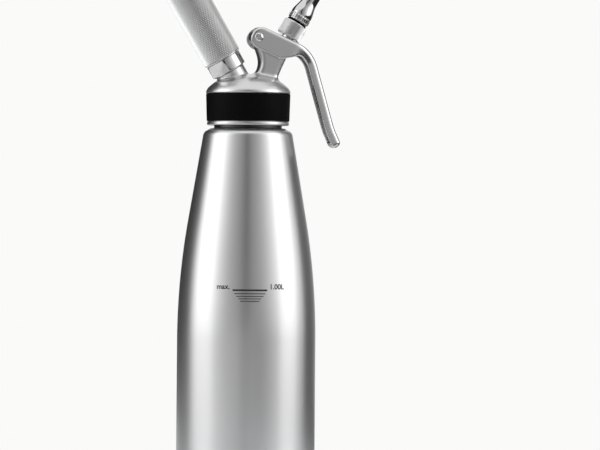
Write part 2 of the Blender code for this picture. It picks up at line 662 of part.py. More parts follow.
def make_inlet_pieces(inlet_axis):
    floor = PIN_HOLDER_BOTTOM + PIN_HOLDER_FLOOR
    flange_top = PIN_HOLDER_BOTTOM + PIN_HOLDER_FLANGE_DEPTH
    pin_hole = PIN_RADIUS + SEAT_GAP
    flange_hole = PIN_FLANGE_RADIUS + SEAT_GAP
    pin_holder = [
        (flange_hole, PIN_HOLDER_BOTTOM),
        (PIN_HOLDER_RADIUS, PIN_HOLDER_BOTTOM),
        (PIN_HOLDER_RADIUS, PIN_HOLDER_TOP),
        (CHARGER_RECESS, PIN_HOLDER_TOP),
        (CHARGER_RECESS, floor),
        (pin_hole, floor),
        (pin_hole, flange_top),
        (flange_hole, flange_top),
    ]
    turned("pin_holder", pin_holder, SMALL_STEPS, brass(), inlet_axis)
    pin_bottom = PIN_HOLDER_BOTTOM
    pin_top = CHARGER_TIP + PIN_REACH
    pin = [
        (PIN_BORE, pin_bottom),
        (PIN_FLANGE_RADIUS, pin_bottom),
        (PIN_FLANGE_RADIUS, flange_top - SEAT_GAP),
        (PIN_RADIUS, flange_top - SEAT_GAP),
        (PIN_RADIUS, pin_top - PIN_POINT),
        (PIN_BORE, pin_top),
    ]
    turned("piercing_pin", pin, TINY_STEPS, polished_steel(), inlet_axis)
    seal_top = PIN_SEAL_BOTTOM + PIN_SEAL_THICKNESS
    seal = [
        (PIN_SEAL_HOLE, PIN_SEAL_BOTTOM),
        (CHARGER_NECK_RADIUS, PIN_SEAL_BOTTOM),
        (CHARGER_NECK_RADIUS, seal_top),
        (PIN_SEAL_HOLE, seal_top),
    ]
    turned("pin_seal", seal, SMALL_STEPS, clear_silicone(), inlet_axis)
    filter_top = PIN_HOLDER_BOTTOM - SEAT_GAP
    rod("inlet_filter", FILTER_RADIUS, filter_top - FILTER_THICKNESS, filter_top, SMALL_STEPS, brass(), inlet_axis)
    umbrella_top = INLET_BOSS_FACE - SEAT_GAP
    bulb = umbrella_top + UMBRELLA_STEM_LENGTH
    umbrella = [
        (0, umbrella_top - UMBRELLA_THICKNESS),
        (UMBRELLA_RADIUS, umbrella_top - UMBRELLA_THICKNESS / 2),
        (UMBRELLA_RADIUS, umbrella_top),
        (UMBRELLA_STEM_RADIUS, umbrella_top),
        (UMBRELLA_STEM_RADIUS, bulb),
        (UMBRELLA_BULB_RADIUS, bulb),
        (0, bulb + UMBRELLA_BULB_LENGTH),
    ]
    turned("check_valve", umbrella, SMALL_STEPS, clear_silicone(), inlet_axis)


def make_charger(inlet_axis):
    """A thin steel capsule whose cap has been pierced, so its inside is open to the pin."""
    inner = charger_outline(CHARGER_RADIUS - CHARGER_WALL, CHARGER_NECK_RADIUS - CHARGER_WALL)
    outer = charger_outline(CHARGER_RADIUS, CHARGER_NECK_RADIUS)
    cap_top = CHARGER_TIP + CHARGER_WALL
    hole = [(CHARGER_PIERCED_RADIUS, cap_top), (CHARGER_PIERCED_RADIUS, CHARGER_TIP)]
    profile = inner[::-1] + [(CHARGER_NECK_RADIUS - CHARGER_WALL, cap_top)] + hole
    profile += [(CHARGER_NECK_RADIUS, CHARGER_TIP)] + outer
    turned("gas_charger", profile, SMALL_STEPS, satin_steel(), inlet_axis)


def charger_outline(radius, neck_radius):
    """One skin of the capsule, from the end of its neck to the middle of its round end."""
    neck_end = CHARGER_TIP + CHARGER_NECK_LENGTH
    shoulder_top = neck_end + CHARGER_SHOULDER_LENGTH
    step = radius - neck_radius
    shoulder = [
        (neck_radius + step * math.sin(turn), shoulder_top - CHARGER_SHOULDER_LENGTH * math.cos(turn))
        for turn in (math.radians(angle) for angle in CHARGER_SHOULDER_ANGLES)
    ]
    dome = arc(0, CHARGER_END - CHARGER_RADIUS, radius, 0, math.pi / 2, CHARGER_END_STEPS)[:-1]
    return [(neck_radius, neck_end)] + shoulder + dome + [(0, CHARGER_END - CHARGER_RADIUS + radius)]


def make_holder(inlet_axis):
    mouth_bore = SPIGOT_RADIUS + SEAT_GAP
    thread_end = HOLDER_MOUTH + HOLDER_THREAD_DEPTH
    ring_top = HOLDER_MOUTH + HOLDER_RING_LENGTH
    edge_x, edge_z = HOLDER_RING_RADIUS - HOLDER_RING_ROUND, HOLDER_MOUTH + HOLDER_RING_ROUND
    outside = arc(edge_x, edge_z, HOLDER_RING_ROUND, -math.pi / 2, 0, ROUND_STEPS)
    outside +=[(HOLDER_RING_RADIUS, ring_top), (HOLDER_TUBE_RADIUS, ring_top), (HOLDER_TUBE_RADIUS, HOLDER_END)]
    profile = [(0, HOLDER_FLOOR), (CHARGER_BORE, HOLDER_FLOOR), (CHARGER_BORE, thread_end), (mouth_bore, thread_end)]
    profile += [(mouth_bore, HOLDER_MOUTH)] + outside + [(0, HOLDER_END)]
    turned("holder_body", profile, MEDIUM_STEPS, polished_steel(), inlet_axis)
    grip = [
        (0, GRIP_FLOOR),
        (GRIP_BORE, GRIP_FLOOR),
        (GRIP_BORE, GRIP_START),
        (GRIP_RADIUS_LOWER - GRIP_MOUTH_ROUND, GRIP_START),
        (GRIP_RADIUS_LOWER, GRIP_START + GRIP_MOUTH_ROUND),
    ]
    edge_x, edge_z = GRIP_RADIUS_UPPER - GRIP_END_ROUND, GRIP_END - GRIP_END_ROUND
    grip += arc(edge_x, edge_z, GRIP_END_ROUND, 0, math.pi / 2, ROUND_STEPS)
    grip.append((0, GRIP_END))
    turned("holder_grip", grip, MEDIUM_STEPS, satin_steel(), inlet_axis)
    rod("holder_cushion", CUSHION_RADIUS, CUSHION_BOTTOM, CUSHION_BOTTOM + CUSHION_THICKNESS, SMALL_STEPS,
        black_silicone(), inlet_axis)


def lever_path(station):
    """The web's outer surface in the lever's own frame: a point, and how far the path has turned down."""
    bend_length = LEVER_BEND_RADIUS * LEVER_BEND
    kick_length = LEVER_KICK_RADIUS * LEVER_KICK
    x, z, turn = min(station, LEVER_BEND_START), LEVER_WEB_TOP, 0.0
    left = station - LEVER_BEND_START
    if left > 0:
        turn = min(left, bend_length) / LEVER_BEND_RADIUS
        x += LEVER_BEND_RADIUS * math.sin(turn)
        z -= LEVER_BEND_RADIUS * (1 - math.cos(turn))
        left -= bend_length
    if left > 0:
        straight = min(left, LEVER_HANDLE_LENGTH)
        x += straight * math.cos(turn)
        z -= straight * math.sin(turn)
        left -= LEVER_HANDLE_LENGTH
    if left > 0:
        kick = min(left, kick_length) / LEVER_KICK_RADIUS
        x += LEVER_KICK_RADIUS * (math.sin(turn) - math.sin(turn - kick))
        z -= LEVER_KICK_RADIUS * (math.cos(turn - kick) - math.cos(turn))
        turn -= kick
        left -= kick_length
    if left > 0:
        x += left * math.cos(turn)
        z -= left * math.sin(turn)
    return x, z, turn


def lever_length():
    return (
        LEVER_BEND_START + LEVER_BEND_RADIUS * LEVER_BEND + LEVER_HANDLE_LENGTH
        + LEVER_KICK_RADIUS * LEVER_KICK + LEVER_TIP_LENGTH
    )


def lever_depth(station):
    change = smooth_step(station, LEVER_DEPTH_FROM, LEVER_DEPTH_TO)
    return LEVER_PLATE_DEPTH + (LEVER_HANDLE_DEPTH - LEVER_PLATE_DEPTH) * change


def lever_half_width(station):
    change = smooth_step(station, LEVER_NARROW_FROM, LEVER_NARROW_TO)
    return LEVER_HALF_WIDTH + (LEVER_HANDLE_HALF_WIDTH - LEVER_HALF_WIDTH) * change


def lever_section(station, top, bottom, half_width, edge):
    """The channel's outline square to the path, from one flange's edge over the web and back inside."""
    x, z, turn = lever_path(station)
    middle = edge * (1 - math.cos(math.pi / 4))
    outer = [
        (-half_width, bottom), (-half_width, top + edge), (middle - half_width, top + middle),
        (edge - half_width, top), (half_width - edge, top), (half_width - middle, top + middle),
        (half_width, top + edge), (half_width, bottom),
    ]
    web = min(top + LEVER_WEB, bottom)
    corner = min(web + LEVER_INNER_EDGE, bottom)
    inner_width = half_width - LEVER_PLATE
    inner = [
        (inner_width, bottom), (inner_width, corner), (inner_width - LEVER_INNER_EDGE, web),
        (LEVER_INNER_EDGE - inner_width, web), (-inner_width, corner), (-inner_width, bottom),
    ]
    return [(x - depth * math.sin(turn), y, z - depth * math.cos(turn)) for y, depth in outer + inner]


def lever_stations():
    """Stations along the path, close together where it bends."""
    bend_end = LEVER_BEND_START + LEVER_BEND_RADIUS * LEVER_BEND
    handle_end = bend_end + LEVER_HANDLE_LENGTH
    kick_end = handle_end + LEVER_KICK_RADIUS * LEVER_KICK
    tip_start = lever_length() - LEVER_HANDLE_DEPTH / 2
    stations = [LEVER_END_X, LEVER_DEPTH_FROM]
    for index in range(1, LEVER_DEEPEN_STEPS):
        stations.append(LEVER_DEPTH_FROM + (LEVER_BEND_START - LEVER_DEPTH_FROM) * index / LEVER_DEEPEN_STEPS)
    for index in range(LEVER_BEND_STEPS + 1):
        stations.append(LEVER_BEND_START + (bend_end - LEVER_BEND_START) * index / LEVER_BEND_STEPS)
    stations += [handle_end, (handle_end + kick_end) / 2, kick_end, tip_start]
    return stations


def lever_sections():
    """Sections from the round end at the pivot to the closed tip."""
    sections = []
    for angle in LEVER_END_ANGLES:
        turn = math.radians(angle)
        reach = LEVER_END_RADIUS * math.sin(turn)
        sections.append(lever_section(
            LEVER_END_X - LEVER_END_RADIUS * math.cos(turn), LEVER_END_RADIUS - reach, LEVER_END_RADIUS + reach,
            LEVER_HALF_WIDTH, min(LEVER_EDGE, reach / 2),
        ))
    for station in lever_stations():
        sections.append(lever_section(station, 0, lever_depth(station), lever_half_width(station), LEVER_EDGE))
    return sections


def lever_tip():
    """The solid end of the handle, rounded towards the bottle."""
    half_depth = LEVER_HANDLE_DEPTH / 2
    start = lever_length() - half_depth - LEVER_TIP_WALL
    sections = [tip_section(start, 0, LEVER_HANDLE_DEPTH, 1, LEVER_EDGE)]
    for angle in (90,) + LEVER_END_ANGLES[::-1]:
        turn = math.radians(angle)
        sections.append(tip_section(
            lever_length() - half_depth * (1 - math.cos(turn)), half_depth * (1 - math.sin(turn)),
            half_depth * (1 + math.sin(turn)), LEVER_TIP_WIDTH_SHARE + (1 - LEVER_TIP_WIDTH_SHARE) * math.sin(turn),
            min(LEVER_EDGE, half_depth * math.sin(turn) / 2),
        ))
    return sections


def tip_section(station, top, bottom, width_share, edge):
    """The first eight points of a channel section, which close into a solid one."""
    return lever_section(station, top, bottom, LEVER_HANDLE_HALF_WIDTH * width_share, edge)[:8]


def make_lever(lever_axis):
    lever = lofted("lever", lever_sections(), polished_steel(), lever_axis)
    combine(lever, lofted("lever_tip", lever_tip(), parent=lever_axis), "UNION")
    mouth_half_width = TOWER_HALF_DEPTH + SEAT_GAP
    left, right = -LEVER_END_RADIUS - CUT_OVERRUN, LEVER_END_X / 2
    low, high = -LEVER_END_RADIUS - CUT_OVERRUN, WEB_UNDER
    outline = [(left, low), (right, low), (right, high), (left, high)]
    combine(lever, extruded("lever_mouth", outline, mouth_half_width, parent=lever_axis), "DIFFERENCE", crossing=True)
    across = SLOT_HALF_LENGTH - SLOT_HALF_WIDTH
    slot = arc(SLOT_CENTRE + across, 0, SLOT_HALF_WIDTH, -math.pi / 2, math.pi / 2, LEVER_SLOT_STEPS)
    slot += arc(SLOT_CENTRE - across, 0, SLOT_HALF_WIDTH, math.pi / 2, math.pi * 3 / 2, LEVER_SLOT_STEPS)
    levels = (LEVER_WEB_TOP - LEVER_WEB - CUT_OVERRUN, LEVER_WEB_TOP + CUT_OVERRUN)
    cutter = lofted("lever_slot", [[(x, y, level) for x, y in slot] for level in levels], parent=lever_axis)
    combine(lever, cutter, "DIFFERENCE")
    hole = cross_rod("lever_hole", SLEEVE_RADIUS + SEAT_GAP, LEVER_HALF_WIDTH + CUT_OVERRUN, SMALL_STEPS, lever_axis)
    combine(lever, hole, "DIFFERENCE")


def make_pivot(lever_axis):
    """A barrel nut from the far side and a cross-head screw from the near side."""
    plate_face = LEVER_HALF_WIDTH + SEAT_GAP
    bore = SCREW_RADIUS + SEAT_GAP
    sleeve = [
        (bore, -LEVER_HALF_WIDTH),
        (SLEEVE_RADIUS, -LEVER_HALF_WIDTH),
        (SLEEVE_RADIUS, plate_face),
        (SLEEVE_HEAD_RADIUS, plate_face),
        (SLEEVE_HEAD_RADIUS, plate_face + SLEEVE_HEAD_HEIGHT),
        (bore, plate_face + SLEEVE_HEAD_HEIGHT),
    ]
    sleeve_piece = turned("pivot_sleeve", sleeve, SMALL_STEPS, polished_steel(), lever_axis)
    sleeve_piece.rotation_euler = (-math.pi / 2, 0, 0)
    reach = LEVER_HALF_WIDTH * (2 * SCREW_REACH_SHARE - 1)
    head_edge = plate_face + SCREW_HEAD_HEIGHT / 2
    screw = [
        (0, -reach),
        (SCREW_RADIUS, -reach),
        (SCREW_RADIUS, plate_face),
        (SCREW_HEAD_RADIUS, plate_face),
        (SCREW_HEAD_RADIUS, head_edge),
        (SCREW_HEAD_RADIUS * SCREW_CROWN_SHARE, plate_face + SCREW_HEAD_HEIGHT * 3 / 4),
        (SCREW_HEAD_RADIUS / 2, plate_face + SCREW_HEAD_HEIGHT),
        (0, plate_face + SCREW_HEAD_HEIGHT),
    ]
    screw_piece = turned("pivot_screw", screw, SMALL_STEPS, polished_steel(), lever_axis)
    screw_piece.rotation_euler = (math.pi / 2, 0, 0)
    for index in range(2):
        long, short = SCREW_CROSS_LENGTH / 2, SCREW_CROSS_WIDTH / 2
        wide, high = (long, short) if index else (short, long)
        levels = (plate_face + SCREW_HEAD_HEIGHT - SCREW_CROSS_DEPTH, plate_face + SCREW_HEAD_HEIGHT + CUT_OVERRUN)
        outline = [(-wide, -high), (wide, -high), (wide, high), (-wide, high)]
        cutter = lofted(f"screw_cross_{index}", [[(x, y, level) for x, y in outline] for level in levels],
                        parent=screw_piece)
        combine(screw_piece, cutter, "DIFFERENCE")


def make_stem(valve_axis):
    profile = [
        (0, STEM_DISC_BOTTOM),
        (STEM_DISC_RADIUS, STEM_DISC_BOTTOM),
        (STEM_DISC_RADIUS, STEM_DISC_TOP),
        (STEM_RADIUS, STEM_DISC_TOP),
        (STEM_RADIUS, STEM_SHOULDER),
        (STEM_UPPER_RADIUS, STEM_SHOULDER),
        (STEM_UPPER_RADIUS, STEM_TOP),
        (STEM_BORE, STEM_TOP),
        (STEM_BORE, STEM_DISC_TOP),
        (0, STEM_DISC_TOP),
    ]
    stem = turned("valve_stem", profile, SMALL_STEPS, polished_steel(), valve_axis)
    for index in range(2):
        port = rod(f"stem_port_{index}", STEM_PORT_RADIUS, -STEM_DISC_RADIUS, STEM_DISC_RADIUS, TINY_STEPS,
                   parent=valve_axis)
        port.location = (0, 0, STEM_DISC_TOP + STEM_SEAL_THICKNESS + STEM_PORT_RISE)
        port.rotation_euler = (math.pi / 2, 0, index * math.pi / 2)
        combine(stem, port, "DIFFERENCE")
    seal_bottom = STEM_DISC_TOP + SEAT_GAP
    seal = [
        (STEM_RADIUS + SEAT_GAP, seal_bottom),
        (STEM_SEAL_RADIUS, seal_bottom),
        (STEM_SEAL_RADIUS, STEM_SEAL_TOP),
        (STEM_RADIUS + SEAT_GAP, STEM_SEAL_TOP),
    ]
    turned("stem_seal", seal, SMALL_STEPS, clear_silicone(), valve_axis)


def make_packing(valve_axis):
    """The O-ring on the floor of the spring's pocket, and the bush that guides the stem above it."""
    middle = SPRING_POCKET_FLOOR + SEAT_GAP + ORING_MINOR
    ring = arc(PACKING_MIDDLE, middle, ORING_MINOR, 0, math.tau, ORING_STEPS)[:-1]
    turned("stem_oring", ring, SMALL_STEPS, black_silicone(), valve_axis)
    inner, outer = STEM_RADIUS + SEAT_GAP, SPRING_POCKET_RADIUS - SEAT_GAP
    bush = [(inner, BUSH_BOTTOM), (outer, BUSH_BOTTOM), (outer, BUSH_TOP), (inner, BUSH_TOP)]
    turned("valve_bush", bush, SMALL_STEPS, brass(), valve_axis)


def spring_points():
    """Centre line of the spring, from just above the bush to just below the collar."""
    bottom = BUSH_TOP + SEAT_GAP + SPRING_WIRE / 2
    top = COLLAR_BOTTOM - SEAT_GAP - SPRING_WIRE / 2
    count = SPRING_TURNS * SPRING_POINTS_PER_TURN
    points = []
    for index in range(count + 1):
        share = index / count
        turn = math.tau * SPRING_TURNS * share
        height = bottom + (top - bottom) * share
        points.append(Vector((PACKING_MIDDLE * math.cos(turn), PACKING_MIDDLE * math.sin(turn), height)))
    return points


def make_spring(valve_axis):
    points = spring_points()
    apart = min(
        (first - second).length
        for place, first in enumerate(points)
        for second in points[place + SPRING_POINTS_PER_TURN // 2:]
    )
    print("valve_spring least gap to itself, mm:", round((apart - SPRING_WIRE) * 1000, 3))
    curve = bpy.data.curves.new("valve_spring", "CURVE")
    curve.dimensions = "3D"
    curve.bevel_depth = SPRING_WIRE / 2
    curve.bevel_resolution = 1
    curve.use_fill_caps = True
    line = curve.splines.new("POLY")
    line.points.add(len(points) - 1)
    for target, point in zip(line.points, points):
        target.co = (*point, 1)
    curve.materials.append(spring_steel())
    add_object("valve_spring", curve, None, valve_axis)


def make_collar(valve_axis):
    inner = STEM_UPPER_RADIUS + SEAT_GAP
    profile = [
        (inner, COLLAR_BOTTOM),
        (COLLAR_RADIUS, COLLAR_BOTTOM),
        (COLLAR_RADIUS, COLLAR_TOP - COLLAR_CROWN_DROP),
        (COLLAR_CROWN_RADIUS, COLLAR_TOP),
        (inner, COLLAR_TOP),
    ]
    turned("lever_collar", profile, SMALL_STEPS, polished_steel(), valve_axis)


def make_adapter(valve_axis):
    socket = STEM_UPPER_RADIUS + SEAT_GAP
    socket_top = STEM_TOP + SEAT_GAP
    spigot_top = RING_TOP + SPIGOT_TOP_LENGTH
    profile = [
        (socket, HUB_BOTTOM),
        (HUB_RADIUS, HUB_BOTTOM),
        (HUB_RADIUS, RING_BOTTOM),
        (RING_RADIUS - RING_EDGE, RING_BOTTOM),
        (RING_RADIUS, RING_BOTTOM + RING_EDGE),
        (RING_RADIUS, RING_TOP - RING_EDGE),
        (RING_RADIUS - RING_EDGE, RING_TOP),
        (SPIGOT_TOP_RADIUS, RING_TOP),
        (SPIGOT_TOP_RADIUS, spigot_top),
        (ADAPTER_BORE, spigot_top),
        (ADAPTER_BORE, socket_top),
        (socket, socket_top),
    ]
    turned("nozzle_adapter", profile, MEDIUM_STEPS, satin_steel(), valve_axis)


def make_nozzle(valve_axis):
    seal_inner = SPIGOT_TOP_RADIUS + SEAT_GAP
    seal_top = NOZZLE_SEAL_BOTTOM + NOZZLE_SEAL_THICKNESS
    seal = [
        (seal_inner, NOZZLE_SEAL_BOTTOM),
        (NOZZLE_SEAL_RADIUS, NOZZLE_SEAL_BOTTOM),
        (NOZZLE_SEAL_RADIUS, seal_top),
        (seal_inner, seal_top),
    ]
    turned("nozzle_seal", seal, MEDIUM_STEPS, black_silicone(), valve_axis)
    fall = NOZZLE_BASE_RADIUS - NOZZLE_TUBE_RADIUS
    rise = NOZZLE_SHOULDER_TOP - NOZZLE_BASE_HEIGHT
    shoulder = []
    for index in range(NOZZLE_SHOULDER_STEPS + 1):
        share = index / NOZZLE_SHOULDER_STEPS
        shoulder.append((
            NOZZLE_BASE_RADIUS - fall * smooth_step(share, 0, 1), NOZZLE_BOTTOM + NOZZLE_BASE_HEIGHT + rise * share
        ))
    tip = NOZZLE_BOTTOM + NOZZLE_LENGTH
    outer = [(NOZZLE_BASE_RADIUS, NOZZLE_BOTTOM)] + shoulder
    outer += [(NOZZLE_TIP_RADIUS, tip - NOZZLE_LIP_ROUND), (NOZZLE_TIP_RADIUS - NOZZLE_LIP_ROUND, tip)]
    socket_top = RING_TOP + SPIGOT_TOP_LENGTH + SEAT_GAP
    inner = [
        (NOZZLE_TIP_RADIUS - NOZZLE_WALL, tip),
        (NOZZLE_TUBE_RADIUS - NOZZLE_WALL, shoulder[-1][1]),
        (seal_inner - NOZZLE_WALL, socket_top),
        (seal_inner, socket_top),
        (seal_inner, NOZZLE_BOTTOM),
    ]
    turned("nozzle", outer + inner, MEDIUM_STEPS, polished_steel(), valve_axis)


def main():
    clear_scene()
    inlet_axis = add_axis("inlet_axis", 0, INLET_CROSS_HEIGHT, -INLET_TILT)
    valve_axis = add_axis("valve_axis", 0, VALVE_CROSS_HEIGHT, VALVE_TILT)
    lever_axis = add_axis("lever_axis", PIVOT_X, PIVOT_HEIGHT, LEVER_SLOPE)
    make_bottle()
    make_gasket()
    make_head(inlet_axis, valve_axis, lever_axis)
    make_band()
    make_inlet_pieces(inlet_axis)
    make_charger(inlet_axis)
    make_holder(inlet_axis)
    make_lever(lever_axis)
    make_pivot(lever_axis)
    make_stem(valve_axis)
    make_packing(valve_axis)
    make_spring(valve_axis)
    make_collar(valve_axis)
    make_adapter(valve_axis)
    make_nozzle(valve_axis)


main()
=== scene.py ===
"""Looks for the whipped cream dispenser: carved and turned metal, knurls, threads, printed marks and a studio.

Metres, +Z up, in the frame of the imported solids. Pieces on a slanted axis are shaped along their own Z
and then placed, so that each finished object sits at the origin.
"""

import math

import bmesh
import bpy
import numpy as np
from bpy.props import FloatProperty, FloatVectorProperty, IntProperty, PointerProperty, StringProperty
from mathutils import Matrix, Vector


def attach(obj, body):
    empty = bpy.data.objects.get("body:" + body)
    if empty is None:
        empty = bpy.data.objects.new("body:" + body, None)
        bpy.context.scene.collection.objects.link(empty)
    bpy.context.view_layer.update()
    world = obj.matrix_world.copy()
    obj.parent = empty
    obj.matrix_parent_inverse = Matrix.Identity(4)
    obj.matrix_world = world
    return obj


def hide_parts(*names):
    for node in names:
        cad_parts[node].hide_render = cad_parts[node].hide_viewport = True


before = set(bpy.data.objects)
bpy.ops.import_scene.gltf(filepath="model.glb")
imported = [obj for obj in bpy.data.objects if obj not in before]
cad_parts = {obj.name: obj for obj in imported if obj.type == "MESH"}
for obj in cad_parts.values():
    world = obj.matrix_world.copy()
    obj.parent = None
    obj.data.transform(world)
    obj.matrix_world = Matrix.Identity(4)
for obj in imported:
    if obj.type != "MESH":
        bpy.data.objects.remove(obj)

bl_info = {
    "name": "Whipped Cream Dispenser Looks",
    "version": (1, 0, 0),
    "blender": (4, 5, 0),
    "location": "View3D > Sidebar > Dispenser",
    "description": "Finished pieces, metals, printed marks and a studio for a whipped cream dispenser",
    "category": "Object",
}

# Axes and places shared with the solids
INLET_TILT = math.radians(30.4)
VALVE_TILT = math.radians(31.4)
LEVER_SLOPE = math.radians(24.3)
PIVOT = (0.0056, 0.0, 0.3196)
UPRIGHT = Matrix.Identity(4)
INLET = Matrix.Translation((0, 0, 0.2726)) @ Matrix.Rotation(-INLET_TILT, 4, "Y")
VALVE = Matrix.Translation((0, 0, 0.2742)) @ Matrix.Rotation(VALVE_TILT, 4, "Y")
LEVER = Matrix.Translation(PIVOT) @ Matrix.Rotation(LEVER_SLOPE, 4, "Y")
SCREW = LEVER @ Matrix.Rotation(math.pi / 2, 4, "X")
SLEEVE = LEVER @ Matrix.Rotation(-math.pi / 2, 4, "X")

# Bottle
BOTTLE_RADIUS = 0.0490
BOTTLE_WALL = 0.0010
BASE_CORNER = 0.0060
TAPER_START = 0.1050
TAPER_ARC_RADIUS = 0.5100
TAPER_ANGLE = math.radians(9.6)
SHOULDER_HEIGHT = 0.2523
SHOULDER_FOOT = 0.2551
SHOULDER_FOOT_RADIUS = 0.0264
RELIEF_RADIUS = 0.0240
RELIEF_SHADE_DEPTH = 0.0020
NECK_RADIUS = 0.0250
MOUTH_RADIUS = 0.0225
NECK_TOP = 0.2740

# Head
LIP_BOTTOM = 0.2572
LIP_RADIUS = 0.0290
LIP_HEIGHT = 0.0026
SKIRT_BORE = 0.0254
SEAT_RADIUS = 0.0279
SEAT_TOP = 0.2800
CEILING = 0.2770
DOME_RADIUS = 0.0299
DOME_HEIGHT = 0.0133
DOME_SHARES = (
    (1.000, 0.000), (0.998, 0.070), (0.984, 0.165), (0.947, 0.293), (0.868, 0.451),
    (0.772, 0.612), (0.620, 0.785), (0.420, 0.910), (0.200, 0.980), (0.000, 1.000),
)
CAVITY_RADIUS = 0.0205
CAVITY_HEIGHT = 0.0115
CAVITY_SHARES = ((1.00, -0.20), (1.00, 0.30), (0.88, 0.62), (0.58, 0.88), (0.28, 0.98), (0.00, 1.00))
INLET_NECK_RADIUS = 0.0108
HOLDER_MOUTH = 0.0269
SPIGOT_RADIUS = 0.0103
SPIGOT_TOP = 0.0384
PIN_POCKET_RADIUS = 0.0078
TOWER_HALF_DEPTH = 0.0080
TOWER_TOP = 0.0447
PIVOT_STATION = 0.0417
PIVOT_OFFSET = -0.01887
BOSS_RADIUS = 0.0052
TOWER_OUTLINE = (
    (0.0130, 0.0120), (0.0105, 0.0165), (0.0092, 0.0205), (0.0083, 0.0260), (0.0074, 0.0318), (0.0068, 0.0370),
    (0.0062, 0.0420), (0.0061, 0.0447),
)
TOWER_THROAT = (
    (-0.0162, 0.0353), (-0.0129, 0.0325), (-0.0100, 0.0298), (-0.0078, 0.0268), (-0.0065, 0.0230),
    (-0.0066, 0.0195), (-0.0080, 0.0165), (-0.0105, 0.0130),
)

# Charger holder
RING_TOP = HOLDER_MOUTH + 0.0097
HOLDER_RING_RADIUS = 0.01275
HOLDER_TUBE_RADIUS = 0.0116
CHARGER_BORE = 0.0094
GRIP_START = RING_TOP + 0.0003
GRIP_END = 0.1064
KNURL_START = GRIP_START + 0.0009
KNURL_END = GRIP_END - 0.0030
GRIP_LOWER = 0.0136
GRIP_UPPER = 0.0141
HOLDER_END = 0.1036

# Lever channel, in the lever's own frame
WEB_TOP = 0.0084
WEB = 0.0020
PLATE = 0.0020
HALF_WIDTH = 0.0104
HANDLE_HALF_WIDTH = 0.0072
END_RADIUS = 0.0080
END_X = 0.0024
BEND_START = 0.0285
BEND_RADIUS = 0.0250
BEND = math.radians(49.8)
HANDLE_LENGTH = 0.0418
KICK_RADIUS = 0.0500
KICK = math.radians(8.5)
TIP_LENGTH = 0.0096
PLATE_DEPTH = 0.0160
HANDLE_DEPTH = 0.00715
SLOT_CENTRE = 0.01929
SLOT_HALF_LENGTH = 0.00538
SLOT_HALF_WIDTH = 0.0046
PIVOT_HOLE = 0.0027

# Coupling ring, nozzle and their places on the valve axis
COLLAR_TOP = 0.04991
RING_BOTTOM = 0.0540
RING_HEIGHT = 0.0112
RING_RADIUS = 0.0086
NOZZLE_BOTTOM = RING_BOTTOM + RING_HEIGHT + 0.0018
NOZZLE_LENGTH = 0.0500

# Printed marks on the bottle: half width, height, thickness
MARK_AZIMUTH = math.radians(-6.6)
MARK_LINES = (
    (0.0122, 0.1412, 0.00125), (0.0110, 0.1388, 0.00060), (0.0096, 0.1369, 0.00055),
    (0.0079, 0.1352, 0.00055), (0.0067, 0.1335, 0.00055),
)
WORD_BASE = 0.1420
WORDS = (("word_max", "max.", -0.0191), ("word_litre", "1.00L", 0.0196))
PRINT_LIFT = 0.00004

# Numbers that shape every mesh
FINE = 192
ROUND = 96
CARVE_STEP = 0.00042


class DispenserSizes(bpy.types.PropertyGroup):
    """Counts and heights of the fine detail."""
    grip_teeth: IntProperty(name="Grip teeth", description="Diamonds round the charger holder", default=54, min=12)
    grip_rows: IntProperty(name="Grip rows", description="Rows of diamonds along the charger holder", default=64, min=4)
    ring_teeth: IntProperty(name="Ring teeth", description="Diamonds round the coupling ring", default=54, min=12)
    ring_rows: IntProperty(name="Ring rows", description="Rows of diamonds on the coupling ring", default=17, min=2)
    tooth_height: FloatProperty(
        name="Tooth height", description="Height of a diamond", default=0.00050, unit="LENGTH"
    )
    nozzle_ribs: IntProperty(name="Nozzle ribs", description="Ribs round the foot of the nozzle", default=26, min=6)
    neck_lead: FloatProperty(
        name="Neck lead", description="Rise of the bottle's thread in one turn", default=0.0040, unit="LENGTH"
    )
    word_height: FloatProperty(
        name="Word height", description="Size of the printed words", default=0.0051, unit="LENGTH"
    )


class DispenserFinish(bpy.types.PropertyGroup):
    """Colours and roughness of the finishes."""
    steel: FloatVectorProperty(
        name="Steel", description="Colour of the steel", subtype="COLOR", size=3, default=(0.70, 0.70, 0.705)
    )
    crest: FloatVectorProperty(
        name="Crest", description="Colour of the knurls' crests", subtype="COLOR", size=3, default=(0.84, 0.84, 0.84)
    )
    brass: FloatVectorProperty(
        name="Brass", description="Colour of the brass", subtype="COLOR", size=3, default=(0.72, 0.52, 0.25)
    )
    silicone: FloatVectorProperty(
        name="Silicone", description="Colour of the black silicone", subtype="COLOR", size=3,
        default=(0.0020, 0.0020, 0.0021)
    )
    ink: FloatVectorProperty(
        name="Ink", description="Colour of the printed marks", subtype="COLOR", size=3, default=(0.010, 0.010, 0.010)
    )
    backdrop: FloatVectorProperty(
        name="Backdrop", description="Colour behind the object", subtype="COLOR", size=3, default=(0.955, 0.955, 0.950)
    )
    satin_roughness: FloatProperty(
        name="Satin roughness", description="Roughness of the bottle", default=0.30, min=0.0, max=1.0
    )
    cast_roughness: FloatProperty(
        name="Cast roughness", description="Roughness of the head's casting", default=0.30, min=0.0, max=1.0
    )
    polish_roughness: FloatProperty(
        name="Polish roughness", description="Roughness of the turned and polished pieces", default=0.15, min=0.0, max=1.0
    )


# Shader groups


def add_socket(tree, name, kind, default=None, output=False):
    socket = tree.interface.new_socket(name=name, in_out="OUTPUT" if output else "INPUT", socket_type=kind)
    if default is not None:
        socket.default_value = default
    return socket


def wire(tree, source, target):
    tree.links.new(source, target)


def math_node(tree, operation, first, second):
    """A Math node whose two inputs are sockets or numbers."""
    node = tree.nodes.new("ShaderNodeMath")
    node.operation = operation
    for socket, value in zip(node.inputs, (first, second)):
        if isinstance(value, (int, float)):
            socket.default_value = value
        else:
            wire(tree, value, socket)
    return node.outputs[0]


